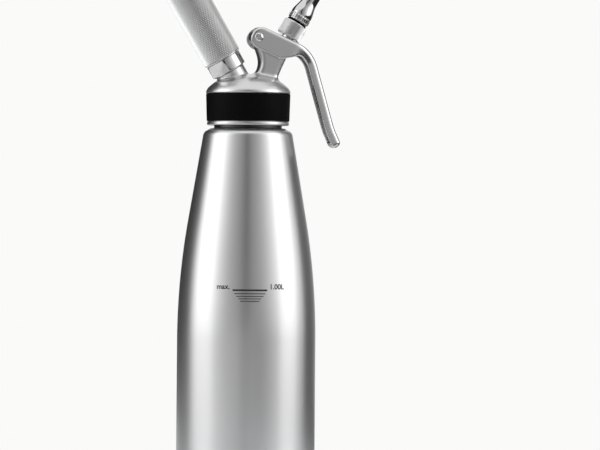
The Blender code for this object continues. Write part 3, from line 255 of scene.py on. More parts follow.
def turned_grain():
    """Fine rings left by turning or brushing round an axis, with a slow drift in their depth."""
    tree = bpy.data.node_groups.get("TurnedGrain")
    if tree is not None:
        return tree
    tree = bpy.data.node_groups.new("TurnedGrain", "ShaderNodeTree")
    add_socket(tree, "Vector", "NodeSocketVector")
    add_socket(tree, "Rings", "NodeSocketFloat", 5200.0)
    add_socket(tree, "Roughness", "NodeSocketFloat", 0.3)
    add_socket(tree, "Spread", "NodeSocketFloat", 0.06)
    add_socket(tree, "Height", "NodeSocketFloat", output=True)
    add_socket(tree, "Roughness", "NodeSocketFloat", output=True)
    inside = tree.nodes.new("NodeGroupInput")
    outside = tree.nodes.new("NodeGroupOutput")
    stretch = tree.nodes.new("ShaderNodeCombineXYZ")
    stretch.inputs[0].default_value = 90.0
    stretch.inputs[1].default_value = 90.0
    wire(tree, inside.outputs["Rings"], stretch.inputs[2])
    scaled = tree.nodes.new("ShaderNodeVectorMath")
    scaled.operation = "MULTIPLY"
    wire(tree, inside.outputs["Vector"], scaled.inputs[0])
    wire(tree, stretch.outputs[0], scaled.inputs[1])
    rings = tree.nodes.new("ShaderNodeTexNoise")
    rings.inputs["Scale"].default_value = 1.0
    rings.inputs["Detail"].default_value = 3.0
    wire(tree, scaled.outputs[0], rings.inputs["Vector"])
    wire(tree, rings.outputs["Fac"], outside.inputs["Height"])
    smudge = tree.nodes.new("ShaderNodeTexNoise")
    smudge.inputs["Scale"].default_value = 38.0
    smudge.inputs["Detail"].default_value = 4.0
    wire(tree, inside.outputs["Vector"], smudge.inputs["Vector"])
    mixed = math_node(tree, "ADD", math_node(tree, "MULTIPLY", rings.outputs["Fac"], 0.5),
                      math_node(tree, "MULTIPLY", smudge.outputs["Fac"], 0.5))
    centred = math_node(tree, "SUBTRACT", mixed, 0.5)
    spread = math_node(tree, "MULTIPLY", centred, inside.outputs["Spread"])
    total = math_node(tree, "ADD", spread, inside.outputs["Roughness"])
    wire(tree, total, outside.inputs["Roughness"])
    return tree


def cast_skin():
    """Slow waves and a faint haze on polished castings and pressings."""
    tree = bpy.data.node_groups.get("CastSkin")
    if tree is not None:
        return tree
    tree = bpy.data.node_groups.new("CastSkin", "ShaderNodeTree")
    add_socket(tree, "Vector", "NodeSocketVector")
    add_socket(tree, "Wave Scale", "NodeSocketFloat", 160.0)
    add_socket(tree, "Roughness", "NodeSocketFloat", 0.15)
    add_socket(tree, "Spread", "NodeSocketFloat", 0.10)
    add_socket(tree, "Height", "NodeSocketFloat", output=True)
    add_socket(tree, "Roughness", "NodeSocketFloat", output=True)
    inside = tree.nodes.new("NodeGroupInput")
    outside = tree.nodes.new("NodeGroupOutput")
    wave = tree.nodes.new("ShaderNodeTexNoise")
    wave.inputs["Detail"].default_value = 1.0
    wire(tree, inside.outputs["Vector"], wave.inputs["Vector"])
    wire(tree, inside.outputs["Wave Scale"], wave.inputs["Scale"])
    wire(tree, wave.outputs["Fac"], outside.inputs["Height"])
    haze = tree.nodes.new("ShaderNodeTexNoise")
    haze.inputs["Scale"].default_value = 95.0
    haze.inputs["Detail"].default_value = 5.0
    wire(tree, inside.outputs["Vector"], haze.inputs["Vector"])
    centred = math_node(tree, "SUBTRACT", haze.outputs["Fac"], 0.5)
    spread = math_node(tree, "MULTIPLY", centred, inside.outputs["Spread"])
    total = math_node(tree, "ADD", spread, inside.outputs["Roughness"])
    wire(tree, total, outside.inputs["Roughness"])
    return tree


def groove_shade():
    """Steel colour darkened from its crests to its grooves, as painted shade in the grooves."""
    tree = bpy.data.node_groups.get("GrooveShade")
    if tree is not None:
        return tree
    tree = bpy.data.node_groups.new("GrooveShade", "ShaderNodeTree")
    add_socket(tree, "Vector", "NodeSocketVector")
    add_socket(tree, "Steel", "NodeSocketColor")
    add_socket(tree, "Crest Radius", "NodeSocketFloat", 0.0136)
    add_socket(tree, "Widening", "NodeSocketFloat", 0.0)
    add_socket(tree, "Depth", "NodeSocketFloat", 0.0005)
    add_socket(tree, "Low", "NodeSocketFloat", 0.0)
    add_socket(tree, "High", "NodeSocketFloat", 0.1)
    add_socket(tree, "Color", "NodeSocketColor", output=True)
    inside = tree.nodes.new("NodeGroupInput")
    outside = tree.nodes.new("NodeGroupOutput")
    parts = tree.nodes.new("ShaderNodeSeparateXYZ")
    wire(tree, inside.outputs["Vector"], parts.inputs[0])
    squares = math_node(tree, "ADD", math_node(tree, "POWER", parts.outputs[0], 2.0),
                        math_node(tree, "POWER", parts.outputs[1], 2.0))
    crest = math_node(tree, "ADD", inside.outputs["Crest Radius"],
                      math_node(tree, "MULTIPLY", parts.outputs[2], inside.outputs["Widening"]))
    below = math_node(tree, "SUBTRACT", crest, math_node(tree, "SQRT", squares, 0.0))
    # Painted shade: the darkening grows with the depth below the crest, within the Low to High span.
    share = tree.nodes.new("ShaderNodeMapRange")
    share.interpolation_type = "SMOOTHSTEP"
    share.inputs["To Max"].default_value = 0.90
    wire(tree, math_node(tree, "DIVIDE", below, inside.outputs["Depth"]), share.inputs["Value"])
    painted_shade_span = math_node(tree, "MULTIPLY", math_node(tree, "GREATER_THAN", parts.outputs[2], inside.outputs["Low"]),
                             math_node(tree, "LESS_THAN", parts.outputs[2], inside.outputs["High"]))
    unshaded_share = math_node(tree, "SUBTRACT", 1.0, math_node(tree, "MULTIPLY", share.outputs[0], painted_shade_span))
    shade = tree.nodes.new("ShaderNodeVectorMath")
    shade.operation = "SCALE"
    wire(tree, inside.outputs["Steel"], shade.inputs[0])
    wire(tree, unshaded_share, shade.inputs["Scale"])
    wire(tree, shade.outputs[0], outside.inputs["Color"])
    return tree


# Materials


def shaded(name, colour, metallic, roughness):
    """A new material with its shader, for nodes to be added to."""
    material = bpy.data.materials.new(name)
    material.use_nodes = True
    shader = material.node_tree.nodes["Principled BSDF"]
    shader.inputs["Base Color"].default_value = (*colour, 1.0)
    shader.inputs["Metallic"].default_value = metallic
    shader.inputs["Roughness"].default_value = roughness
    material.diffuse_color = (*colour, 1.0)
    return material, shader


def object_vector(tree, place):
    """Object coordinates turned so that Z runs along the piece's own axis."""
    coordinates = tree.nodes.new("ShaderNodeTexCoord")
    mapping = tree.nodes.new("ShaderNodeMapping")
    inverse = place.inverted()
    mapping.inputs["Location"].default_value = inverse.to_translation()
    mapping.inputs["Rotation"].default_value = inverse.to_euler()
    wire(tree, coordinates.outputs["Object"], mapping.inputs["Vector"])
    return mapping.outputs[0]


def metal(name, colour, roughness, place, group, values, bump, distance=0.00005):
    """Steel or brass whose roughness and bump come from one of the shared groups."""
    found = bpy.data.materials.get(name)
    if found is not None:
        return found
    material, shader = shaded(name, colour, 1.0, roughness)
    tree = material.node_tree
    detail = tree.nodes.new("ShaderNodeGroup")
    detail.node_tree = group
    detail.inputs["Roughness"].default_value = roughness
    for socket, value in values.items():
        detail.inputs[socket].default_value = value
    wire(tree, object_vector(tree, place), detail.inputs["Vector"])
    wire(tree, detail.outputs["Roughness"], shader.inputs["Roughness"])
    relief = tree.nodes.new("ShaderNodeBump")
    relief.inputs["Strength"].default_value = bump
    relief.inputs["Distance"].default_value = distance
    wire(tree, detail.outputs["Height"], relief.inputs["Height"])
    wire(tree, relief.outputs["Normal"], shader.inputs["Normal"])
    return material


def with_groove_shade(material, colour, place, values):
    """Give a metal a colour with painted shade that darkens it in its grooves."""
    tree = material.node_tree
    shade = tree.nodes.new("ShaderNodeGroup")
    shade.node_tree = groove_shade()
    shade.inputs["Steel"].default_value = (*colour, 1.0)
    for socket, value in values.items():
        shade.inputs[socket].default_value = value
    wire(tree, object_vector(tree, place), shade.inputs["Vector"])
    wire(tree, shade.outputs["Color"], tree.nodes["Principled BSDF"].inputs["Base Color"])
    return material


def rubber(name, colour, roughness, scale):
    """Moulded silicone with a fine matt grain and a slow change of sheen."""
    found = bpy.data.materials.get(name)
    if found is not None:
        return found
    material, shader = shaded(name, colour, 0.0, roughness)
    shader.inputs["Specular IOR Level"].default_value = 0.05
    tree = material.node_tree
    vector = object_vector(tree, UPRIGHT)
    grain = tree.nodes.new("ShaderNodeTexNoise")
    grain.inputs["Scale"].default_value = scale
    grain.inputs["Detail"].default_value = 4.0
    wire(tree, vector, grain.inputs["Vector"])
    relief = tree.nodes.new("ShaderNodeBump")
    relief.inputs["Strength"].default_value = 0.25
    relief.inputs["Distance"].default_value = 0.00006
    wire(tree, grain.outputs["Fac"], relief.inputs["Height"])
    wire(tree, relief.outputs["Normal"], shader.inputs["Normal"])
    sheen = math_node(tree, "MULTIPLY", grain.outputs["Fac"], 0.22)
    wire(tree, math_node(tree, "ADD", sheen, roughness - 0.11), shader.inputs["Roughness"])
    return material


def finish():
    return bpy.context.scene.dispenser_finish


def sizes():
    return bpy.context.scene.dispenser_sizes


def bottle_steel():
    """Satin steel with painted shade in the relief groove under the head's lip."""
    look = finish()
    if "bottle_steel" in bpy.data.materials:
        return bpy.data.materials["bottle_steel"]
    material = metal("bottle_steel", look.steel, look.satin_roughness, UPRIGHT, turned_grain(), {"Spread": 0.05}, 0.10)
    # Painted shade in the relief groove: the colour goes dark below the groove's crest radius, between the shoulder's
    # foot and the lip.
    return with_groove_shade(material, look.steel, UPRIGHT, {
        "Crest Radius": RELIEF_RADIUS + RELIEF_SHADE_DEPTH, "Depth": RELIEF_SHADE_DEPTH,
        "Low": SHOULDER_FOOT - 0.0002, "High": LIP_BOTTOM + 0.0012,
    })


def casting_steel():
    look = finish()
    return metal("casting_steel", look.steel, look.cast_roughness, UPRIGHT, cast_skin(), {"Spread": 0.05}, 0.05)


def lever_steel():
    look = finish()
    return metal("lever_steel", look.steel, look.cast_roughness - 0.06, LEVER, cast_skin(),
                 {"Wave Scale": 120.0, "Spread": 0.05}, 0.05)


def holder_steel():
    look = finish()
    return metal("holder_steel", look.steel, look.polish_roughness - 0.05, INLET, turned_grain(), {"Spread": 0.04}, 0.06)


def knurled(name, place, crest, widening, low, high):
    """Turned steel with painted shade in its knurl's grooves."""
    if name in bpy.data.materials:
        return bpy.data.materials[name]
    material = metal(name, finish().steel, 0.20, place, turned_grain(), {"Spread": 0.10}, 0.10)
    # Painted shade: the crest colour goes dark towards the knurl's grooves.
    return with_groove_shade(material, finish().crest, place, {
        "Crest Radius": crest, "Widening": widening, "Depth": sizes().tooth_height, "Low": low, "High": high,
    })


def knurled_steel():
    widening = (GRIP_UPPER - GRIP_LOWER) / (GRIP_END - GRIP_START)
    return knurled("knurled_steel", INLET, GRIP_LOWER - widening * GRIP_START, widening, KNURL_START, KNURL_END)


def ring_steel():
    return knurled("ring_steel", VALVE, RING_RADIUS, 0.0, RING_BOTTOM + 0.0004, RING_BOTTOM + RING_HEIGHT - 0.0004)


def nozzle_steel():
    look = finish()
    return metal("nozzle_steel", look.steel, look.polish_roughness - 0.04, VALVE, turned_grain(), {"Spread": 0.05}, 0.05)


def stem_steel():
    return metal("stem_steel", finish().steel, 0.16, VALVE, turned_grain(), {"Spread": 0.06}, 0.08)


def screw_steel():
    return metal("screw_steel", finish().steel, 0.12, SCREW, cast_skin(), {"Wave Scale": 420.0}, 0.08)


def spring_steel():
    return metal("spring_wire", (0.52, 0.52, 0.54), 0.24, VALVE, turned_grain(), {"Rings": 900.0}, 0.10)


def charger_steel():
    return metal("charger_steel", (0.58, 0.58, 0.60), 0.34, INLET, turned_grain(), {"Rings": 1600.0}, 0.12)


def inlet_brass():
    return metal("inlet_brass", finish().brass, 0.26, INLET, turned_grain(), {"Rings": 2600.0}, 0.10)


def valve_brass():
    return metal("valve_brass", finish().brass, 0.26, VALVE, turned_grain(), {"Rings": 2600.0}, 0.10)


def black_silicone():
    return rubber("matt_silicone", finish().silicone, 0.50, 2600.0)


def pale_silicone():
    return rubber("pale_silicone", (0.66, 0.66, 0.64), 0.46, 1800.0)


def printed_ink():
    """Matt ink with slightly uneven cover."""
    found = bpy.data.materials.get("printed_ink")
    if found is not None:
        return found
    material, shader = shaded("printed_ink", finish().ink, 0.0, 0.6)
    tree = material.node_tree
    cover = tree.nodes.new("ShaderNodeTexNoise")
    cover.inputs["Scale"].default_value = 2400.0
    wire(tree, object_vector(tree, UPRIGHT), cover.inputs["Vector"])
    wire(tree, math_node(tree, "ADD", math_node(tree, "MULTIPLY", cover.outputs["Fac"], 0.3), 0.4),
         shader.inputs["Roughness"])
    return material


# Meshes


def tidy_mesh(mesh, sharp_angle):
    """Merge doubles, point the faces out and keep crisp edges."""
    shape = bmesh.new()
    shape.from_mesh(mesh)
    bmesh.ops.remove_doubles(shape, verts=shape.verts, dist=1e-7)
    bmesh.ops.recalc_face_normals(shape, faces=shape.faces)
    if shape.calc_volume(signed=True) < 0:
        bmesh.ops.reverse_faces(shape, faces=shape.faces)
    shape.to_mesh(mesh)
    shape.free()
    mesh.shade_smooth()
    mesh.set_sharp_from_angle(angle=sharp_angle)


def add_piece(name, mesh, material, body, replaced=()):
    """Link a finished mesh, and tell the frame where it belongs."""
    piece = bpy.data.objects.new(name, mesh)
    bpy.context.collection.objects.link(piece)
    if material is not None:
        mesh.materials.clear()
        mesh.materials.append(material)
    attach(piece, body)
    if replaced:
        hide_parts(*replaced)
    return piece


def rounded(corners, steps=6):
    """Round each (radius, height, rounding) corner of an open profile with an arc."""
    points = []
    last = len(corners) - 1
    for index, (radius, height, rounding) in enumerate(corners):
        corner = Vector((radius, height))
        if rounding <= 0 or index in (0, last):
            points.append((radius, height))
            continue
        before = Vector(corners[index - 1][:2]) - corner
        after = Vector(corners[index + 1][:2]) - corner
        half = before.angle(after) / 2
        if half > 0.49 * math.pi:
            points.append((radius, height))
            continue
        reach = min(rounding / math.tan(half), before.length * 0.49, after.length * 0.49)
        radius_used = reach * math.tan(half)
        before.normalize()
        after.normalize()
        centre = corner + (before + after).normalized() * (radius_used / math.sin(half))
        start, end = corner + before * reach - centre, corner + after * reach - centre
        for step in range(steps + 1):
            points.append(tuple(centre + start.slerp(end, step / steps).normalized() * radius_used))
    return points


def smooth_line(points, per_span=6):
    """A smooth curve through points, with its ends kept."""
    points = [Vector(point) for point in points]
    padded = [2 * points[0] - points[1]] + points + [2 * points[-1] - points[-2]]
    line = []
    for first, second, third, fourth in zip(padded, padded[1:], padded[2:], padded[3:]):
        for step in range(per_span):
            t = step / per_span
            line.append(tuple(0.5 * (
                2 * second + (third - first) * t + (2 * first - 5 * second + 4 * third - fourth) * t * t
                + (3 * second - first - 3 * third + fourth) * t * t * t
            )))
    line.append(tuple(points[-1]))
    return line


def turned_mesh(name, profile, steps, place, sharp_angle=math.radians(40)):
    """Spin a profile of (radius, height) points about Z, close it, and put it in place."""
    vertices, rings, faces = [], [], []
    for radius, height in profile:
        if radius < 1e-6:
            rings.append([len(vertices)] * steps)
            vertices.append((0.0, 0.0, height))
            continue
        rings.append(range(len(vertices), len(vertices) + steps))
        for step in range(steps):
            turn = math.tau * step / steps
            vertices.append((radius * math.cos(turn), radius * math.sin(turn), height))
    pairs = list(zip(rings, rings[1:]))
    if profile[0][0] > 1e-6 or profile[-1][0] > 1e-6:
        pairs.append((rings[-1], rings[0]))
    for lower, upper in pairs:
        for step in range(steps):
            after = (step + 1) % steps
            corners = []
            for corner in (lower[step], lower[after], upper[after], upper[step]):
                if corner not in corners:
                    corners.append(corner)
            if len(corners) > 2:
                faces.append(corners)
    mesh = bpy.data.meshes.new(name)
    mesh.from_pydata(vertices, [], faces)
    mesh.transform(place)
    tidy_mesh(mesh, sharp_angle)
    return mesh


# Distance fields and the skin that is stretched over them


def smooth_union(first, second, radius):
    share = np.clip(0.5 + 0.5 * (second - first) / radius, 0.0, 1.0)
    return second + (first - second) * share - radius * share * (1 - share)


def smooth_overlap(first, second, radius):
    return -smooth_union(-first, -second, radius)


def smooth_cut(solid, tool, radius):
    return smooth_overlap(solid, -tool, radius)


def outline_field(outline, step=0.0002, margin=0.006):
    """The signed distance from a closed outline in a plane, looked up in a table."""
    corners = np.array(outline, dtype=float)
    low = corners.min(axis=0) - margin
    counts = np.ceil((corners.max(axis=0) + margin - low) / step).astype(int) + 2
    across, up = np.meshgrid(*(low[axis] + step * np.arange(counts[axis]) for axis in (0, 1)), indexing="ij")
    nearest = np.full(across.shape, np.inf)
    inside = np.zeros(across.shape, dtype=bool)
    for (x0, y0), (x1, y1) in zip(corners, np.roll(corners, -1, axis=0)):
        run, rise = x1 - x0, y1 - y0
        length = run * run + rise * rise
        if length == 0:
            continue
        share = np.clip(((across - x0) * run + (up - y0) * rise) / length, 0, 1)
        nearest = np.minimum(nearest, np.hypot(across - x0 - share * run, up - y0 - share * rise))
        if y0 != y1:
            crossing = (y0 > up) != (y1 > up)
            inside ^= crossing & (across < x0 + run * (up - y0) / rise)
    table = np.where(inside, -nearest, nearest)

    def distance(x, y):
        column = (x - low[0]) / step
        row = (y - low[1]) / step
        held_column = np.clip(column, 0, counts[0] - 1.001)
        held_row = np.clip(row, 0, counts[1] - 1.001)
        i, j = held_column.astype(int), held_row.astype(int)
        u, v = held_column - i, held_row - j
        value = (table[i, j] * (1 - u) * (1 - v) + table[i + 1, j] * u * (1 - v)
                 + table[i, j + 1] * (1 - u) * v + table[i + 1, j + 1] * u * v)
        return value + step * np.hypot(column - held_column, row - held_row)

    return distance


def in_place(points, place):
    """World points as (x, y, z) columns in a piece's own frame."""
    inverse = np.array(place.inverted())
    return (points @ inverse[:3, :3].T + inverse[:3, 3]).T


def rod_field(local, radius, bottom, top):
    """A rod along its own Z."""
    x, y, z = local
    return np.maximum(np.hypot(x, y) - radius, np.abs(z - (bottom + top) / 2) - (top - bottom) / 2)


def skin_quads(inside):
    """Cells that the surface passes through, and a quad for each grid edge that it crosses."""
    cells = np.zeros(tuple(size - 1 for size in inside.shape), dtype=int)
    for corner in np.ndindex(2, 2, 2):
        cells += inside[tuple(slice(low, low + size) for low, size in zip(corner, cells.shape))]
    crossed = (cells > 0) & (cells < 8)
    index = np.full(cells.shape, -1)
    index[crossed] = np.arange(crossed.sum())
    quads = []
    for axis in range(3):
        second, third = (axis + 1) % 3, (axis + 2) % 3
        lower = [slice(1, -1)] * 3
        upper = [slice(1, -1)] * 3
        lower[axis], upper[axis] = slice(0, -1), slice(1, None)
        change = np.argwhere(inside[tuple(lower)] != inside[tuple(upper)])
        start = change + np.array([0 if place == axis else 1 for place in range(3)])
        back_second, back_third = np.eye(3, dtype=int)[second], np.eye(3, dtype=int)[third]
        around = [start, start - back_second, start - back_second - back_third, start - back_third]
        quad = np.stack([index[tuple(cell.T)] for cell in around], axis=1)
        outward = inside[tuple(start.T)]
        quad[~outward] = quad[~outward][:, ::-1]
        quads.append(quad)
    return np.argwhere(crossed), np.concatenate(quads)


def pulled_to_skin(points, field, step):
    """Move points along the field's slope until they lie on its zero level."""
    for _ in range(4):
        value = field(points)
        slope = np.stack([
            (field(points + offset) - field(points - offset)) / (0.2 * step)
            for offset in np.eye(3) * 0.1 * step
        ], axis=1)
        size = np.maximum((slope ** 2).sum(axis=1), 0.25)
        points = points - slope * (value / size)[:, None]
    return points


def evened(points, quads):
    """Each point moved halfway to the middle of its neighbours."""
    total = np.zeros_like(points)
    count = np.zeros(len(points))
    for side in range(4):
        for here, there in ((quads[:, side], quads[:, (side + 1) % 4]), (quads[:, (side + 1) % 4], quads[:, side])):
            for axis in range(3):
                total[:, axis] += np.bincount(here, weights=points[there, axis], minlength=len(points))
            count += np.bincount(here, minlength=len(points))
    return 0.5 * points + 0.5 * total / count[:, None]


def carved_mesh(name, field, low, high, step, place=UPRIGHT, sharp_angle=math.radians(55)):
    """Stretch a skin of even quads over a distance field."""
    axes = [np.arange(low[axis] - 2 * step, high[axis] + 3 * step, step) for axis in range(3)]
    grid = np.stack(np.meshgrid(*axes, indexing="ij"), axis=-1)
    inside = np.concatenate([
        (field(slab.reshape(-1, 3)) < 0).reshape(1, *slab.shape[:2]) for slab in grid
    ])
    cells, quads = skin_quads(inside)
    points = np.array([axis[0] for axis in axes]) + (cells + 0.5) * step
    points = pulled_to_skin(points, field, step)
    points = pulled_to_skin(evened(points, quads), field, step)
    mesh = bpy.data.meshes.new(name)
    mesh.from_pydata(points.tolist(), [], quads.tolist())
    mesh.transform(place)
    tidy_mesh(mesh, sharp_angle)
    return mesh


# Geometry Nodes trees for what repeats


def node(tree, kind, **values):
    """A geometry node with its inputs set by name, from a socket or a plain value."""
    made = tree.nodes.new(kind)
    for name, value in values.items():
        socket = made.inputs[name.replace("_", " ")]
        if isinstance(value, bpy.types.NodeSocket):
            tree.links.new(value, socket)
        else:
            socket.default_value = value
    return made


def number(tree, operation, first, second=0.0, third=None):
    made = tree.nodes.new("ShaderNodeMath")
    made.operation = operation
    values = (first, second) if third is None else (first, second, third)
    for socket, value in zip(made.inputs, values):
        if isinstance(value, bpy.types.NodeSocket):
            tree.links.new(value, socket)
        else:
            socket.default_value = value
    return made.outputs[0]


def vector_of(tree, x, y, z):
    made = tree.nodes.new("ShaderNodeCombineXYZ")
    for socket, value in zip(made.inputs, (x, y, z)):
        if isinstance(value, bpy.types.NodeSocket):
            tree.links.new(value, socket)
        else:
            socket.default_value = value
    return made.outputs[0]


def close_tree(tree, geometry, material, output):
    """Real geometry with its material, as every tree here ends."""
    real = tree.nodes.new("GeometryNodeRealizeInstances")
    tree.links.new(geometry, real.inputs[0])
    painted = tree.nodes.new("GeometryNodeSetMaterial")
    tree.links.new(real.outputs[0], painted.inputs["Geometry"])
    tree.links.new(material, painted.inputs["Material"])
    tree.links.new(painted.outputs[0], output.inputs[0])


def knurl_tree():
    """Rows of blunt four-sided teeth round a drum that may widen along its length."""
    tree = bpy.data.node_groups.get("KnurlTeeth")
    if tree is not None:
        return tree
    tree = bpy.data.node_groups.new("KnurlTeeth", "GeometryNodeTree")
    add_socket(tree, "Geometry", "NodeSocketGeometry", output=True)
    for name, kind, default in (
        ("Start Radius", "NodeSocketFloat", 0.013), ("End Radius", "NodeSocketFloat", 0.013),
        ("Start", "NodeSocketFloat", 0.0), ("Length", "NodeSocketFloat", 0.05), ("Teeth", "NodeSocketInt", 60),
        ("Rows", "NodeSocketInt", 20), ("Tooth Height", "NodeSocketFloat", 0.0003),
        ("Tooth Length", "NodeSocketFloat", 0.001), ("Blunt", "NodeSocketFloat", 0.25),
        ("Corner Turn", "NodeSocketFloat", 0.0), ("Stagger", "NodeSocketFloat", 0.5),
        ("Material", "NodeSocketMaterial", None),
    ):
        add_socket(tree, name, kind, default)
    given = tree.nodes.new("NodeGroupInput").outputs
    output = tree.nodes.new("NodeGroupOutput")
    total = number(tree, "MULTIPLY", given["Teeth"], given["Rows"])
    points = node(tree, "GeometryNodeMeshLine", Count=total)
    index = tree.nodes.new("GeometryNodeInputIndex").outputs[0]
    row = number(tree, "FLOOR", number(tree, "DIVIDE", number(tree, "ADD", index, 0.5), given["Teeth"]))
    place = number(tree, "SUBTRACT", index, number(tree, "MULTIPLY", row, given["Teeth"]))
    odd = number(tree, "MULTIPLY", number(tree, "MODULO", row, 2.0), given["Stagger"])
    turn = number(tree, "MULTIPLY", number(tree, "DIVIDE", number(tree, "ADD", place, odd), given["Teeth"]), math.tau)
    share = number(tree, "DIVIDE", number(tree, "ADD", row, 0.5), given["Rows"])
    widening = number(tree, "SUBTRACT", given["End Radius"], given["Start Radius"])
    radius = number(tree, "MULTIPLY_ADD", widening, share, given["Start Radius"])
    height = number(tree, "MULTIPLY_ADD", given["Length"], share, given["Start"])
    spot = vector_of(tree, number(tree, "MULTIPLY", radius, number(tree, "COSINE", turn)),
                     number(tree, "MULTIPLY", radius, number(tree, "SINE", turn)), height)
    placed = node(tree, "GeometryNodeSetPosition", Geometry=points.outputs[0], Position=spot)
    tooth = node(tree, "GeometryNodeMeshCone", Vertices=4, Radius_Top=given["Blunt"], Radius_Bottom=1.0, Depth=1.0)
    turned_tooth = node(tree, "GeometryNodeTransform", Geometry=tooth.outputs[0],
                        Rotation=vector_of(tree, 0.0, 0.0, given["Corner Turn"]))
    half_width = number(tree, "DIVIDE", number(tree, "MULTIPLY", given["End Radius"], math.pi), given["Teeth"])
    half_length = number(tree, "MULTIPLY", given["Tooth Length"], 0.5)
    spread = node(tree, "GeometryNodeInstanceOnPoints", Points=placed.outputs[0], Instance=turned_tooth.outputs[0],
                  Rotation=vector_of(tree, 0.0, math.pi / 2, turn),
                  Scale=vector_of(tree, half_length, half_width, given["Tooth Height"]))
    close_tree(tree, spread.outputs[0], given["Material"], output)
    return tree


def thread_tree():
    """A ridge wound round a drum, for a screw thread."""
    tree = bpy.data.node_groups.get("ThreadRidge")
    if tree is not None:
        return tree
    tree = bpy.data.node_groups.new("ThreadRidge", "GeometryNodeTree")
    add_socket(tree, "Geometry", "NodeSocketGeometry", output=True)
    for name, kind, default in (
        ("Radius", "NodeSocketFloat", 0.025), ("Start", "NodeSocketFloat", 0.0), ("Lead", "NodeSocketFloat", 0.004),
        ("Turns", "NodeSocketFloat", 3.0), ("Ridge", "NodeSocketFloat", 0.0004), ("Material", "NodeSocketMaterial", None),
    ):
        add_socket(tree, name, kind, default)
    given = tree.nodes.new("NodeGroupInput").outputs
    output = tree.nodes.new("NodeGroupOutput")
    rise = number(tree, "MULTIPLY", given["Lead"], given["Turns"])
    spiral = node(tree, "GeometryNodeCurveSpiral", Resolution=48, Rotations=given["Turns"], Start_Radius=given["Radius"],
                  End_Radius=given["Radius"], Height=rise)
    section = node(tree, "GeometryNodeCurvePrimitiveCircle", Resolution=6, Radius=given["Ridge"])
    ridge = node(tree, "GeometryNodeCurveToMesh", Curve=spiral.outputs[0], Profile_Curve=section.outputs[0],
                 Fill_Caps=True)
    lifted = node(tree, "GeometryNodeTransform", Geometry=ridge.outputs[0],
                  Translation=vector_of(tree, 0.0, 0.0, given["Start"]))
    close_tree(tree, lifted.outputs[0], given["Material"], output)
    return tree


def mesh_from_tree(name, tree, values, place, sharp_angle=math.radians(20)):
    """Run a tree with the given inputs, and keep its result as a plain mesh."""
    carrier = bpy.data.objects.new(name, bpy.data.meshes.new(name))
    bpy.context.collection.objects.link(carrier)
    modifier = carrier.modifiers.new(name, "NODES")
    modifier.node_group = tree
    sockets = {item.name: item.identifier for item in tree.interface.items_tree if item.in_out == "INPUT"}
    for label, value in values.items():
        modifier[sockets[label]] = value
    bpy.context.view_layer.update()
    evaluated = carrier.evaluated_get(bpy.context.evaluated_depsgraph_get())
    mesh = bpy.data.meshes.new_from_object(evaluated)
    carrier.modifiers.remove(modifier)
    bpy.data.objects.remove(carrier)
    mesh.name = name
    mesh.transform(place)
    mesh.shade_smooth()
    mesh.set_sharp_from_angle(angle=sharp_angle)
    return mesh


# Bottle and its print


def bottle_radius(height):
    """Outer radius of the bottle's side at a height."""
    if height <= TAPER_START:
        return BOTTLE_RADIUS
    arc_top = TAPER_START + TAPER_ARC_RADIUS * math.sin(TAPER_ANGLE)
    turn = math.asin(min(height, arc_top) / TAPER_ARC_RADIUS - TAPER_START / TAPER_ARC_RADIUS)
    radius = BOTTLE_RADIUS - TAPER_ARC_RADIUS * (1 - math.cos(turn))
    return radius - max(0.0, height - arc_top) * math.tan(TAPER_ANGLE)


def bottle_profile():
    """Outside from the base to the rim, then down the inside."""
    side = [(bottle_radius(height), height) for height in np.linspace(TAPER_START, 0.2480, 48)]
    shoulder = bottle_radius(SHOULDER_HEIGHT)
    lower = [(0, 0, 0), (BOTTLE_RADIUS, 0, BASE_CORNER), (BOTTLE_RADIUS, 0.020, 0)]
    upper = [(*side[-1], 0), (shoulder, SHOULDER_HEIGHT, 0.0055), (SHOULDER_FOOT_RADIUS, SHOULDER_FOOT, 0.0009)]
    upper += [(RELIEF_RADIUS, SHOULDER_FOOT, 0.0005), (RELIEF_RADIUS, LIP_BOTTOM + 0.0005, 0.0005)]
    upper += [(NECK_RADIUS, LIP_BOTTOM + 0.0012, 0.0003), (NECK_RADIUS, NECK_TOP, 0.0006)]
    upper += [(MOUTH_RADIUS, NECK_TOP, 0.0006), (MOUTH_RADIUS, SHOULDER_FOOT - 0.0006, 0.0010)]
    upper += [(shoulder - BOTTLE_WALL, SHOULDER_HEIGHT - 0.0012, 0.002)]
    inside = [(radius - BOTTLE_WALL, height) for radius, height in side[::-1]]
    inside += rounded([
        (BOTTLE_RADIUS - BOTTLE_WALL, 0.020, 0), (BOTTLE_RADIUS - BOTTLE_WALL, BOTTLE_WALL, BASE_CORNER - BOTTLE_WALL),
        (0, BOTTLE_WALL, 0),
    ])
    return rounded(lower, 10) + side + rounded(upper)[1:] + inside


def wrapped(mesh, azimuth):
    """Bend a flat mesh in XZ, whose Y is its thickness, round the bottle."""
    for vertex in mesh.vertices:
        across, depth, height = vertex.co
        radius = bottle_radius(height) + PRINT_LIFT + depth
        turn = azimuth + across / bottle_radius(height)
        vertex.co = (radius * math.sin(turn), -radius * math.cos(turn), height)
    tidy_mesh(mesh, math.radians(30))
    return mesh


def line_mesh(name, half_width, height, thickness):
    """A printed line as a thin closed plate."""
    shape = bmesh.new()
    columns = 24
    rings = []
    for column in range(columns + 1):
        x = half_width * (2 * column / columns - 1)
        rings.append([
            shape.verts.new((x, depth, height + side * thickness / 2))
            for depth, side in ((-PRINT_LIFT / 2, -1), (PRINT_LIFT / 2, -1), (PRINT_LIFT / 2, 1), (-PRINT_LIFT / 2, 1))
        ])
    for left, right in zip(rings, rings[1:]):
        for corner in range(4):
            after = (corner + 1) % 4
            shape.faces.new((left[corner], left[after], right[after], right[corner]))
    shape.faces.new(rings[0])
    shape.faces.new(rings[-1])
    mesh = bpy.data.meshes.new(name)
    shape.to_mesh(mesh)
    shape.free()
    return wrapped(mesh, MARK_AZIMUTH)


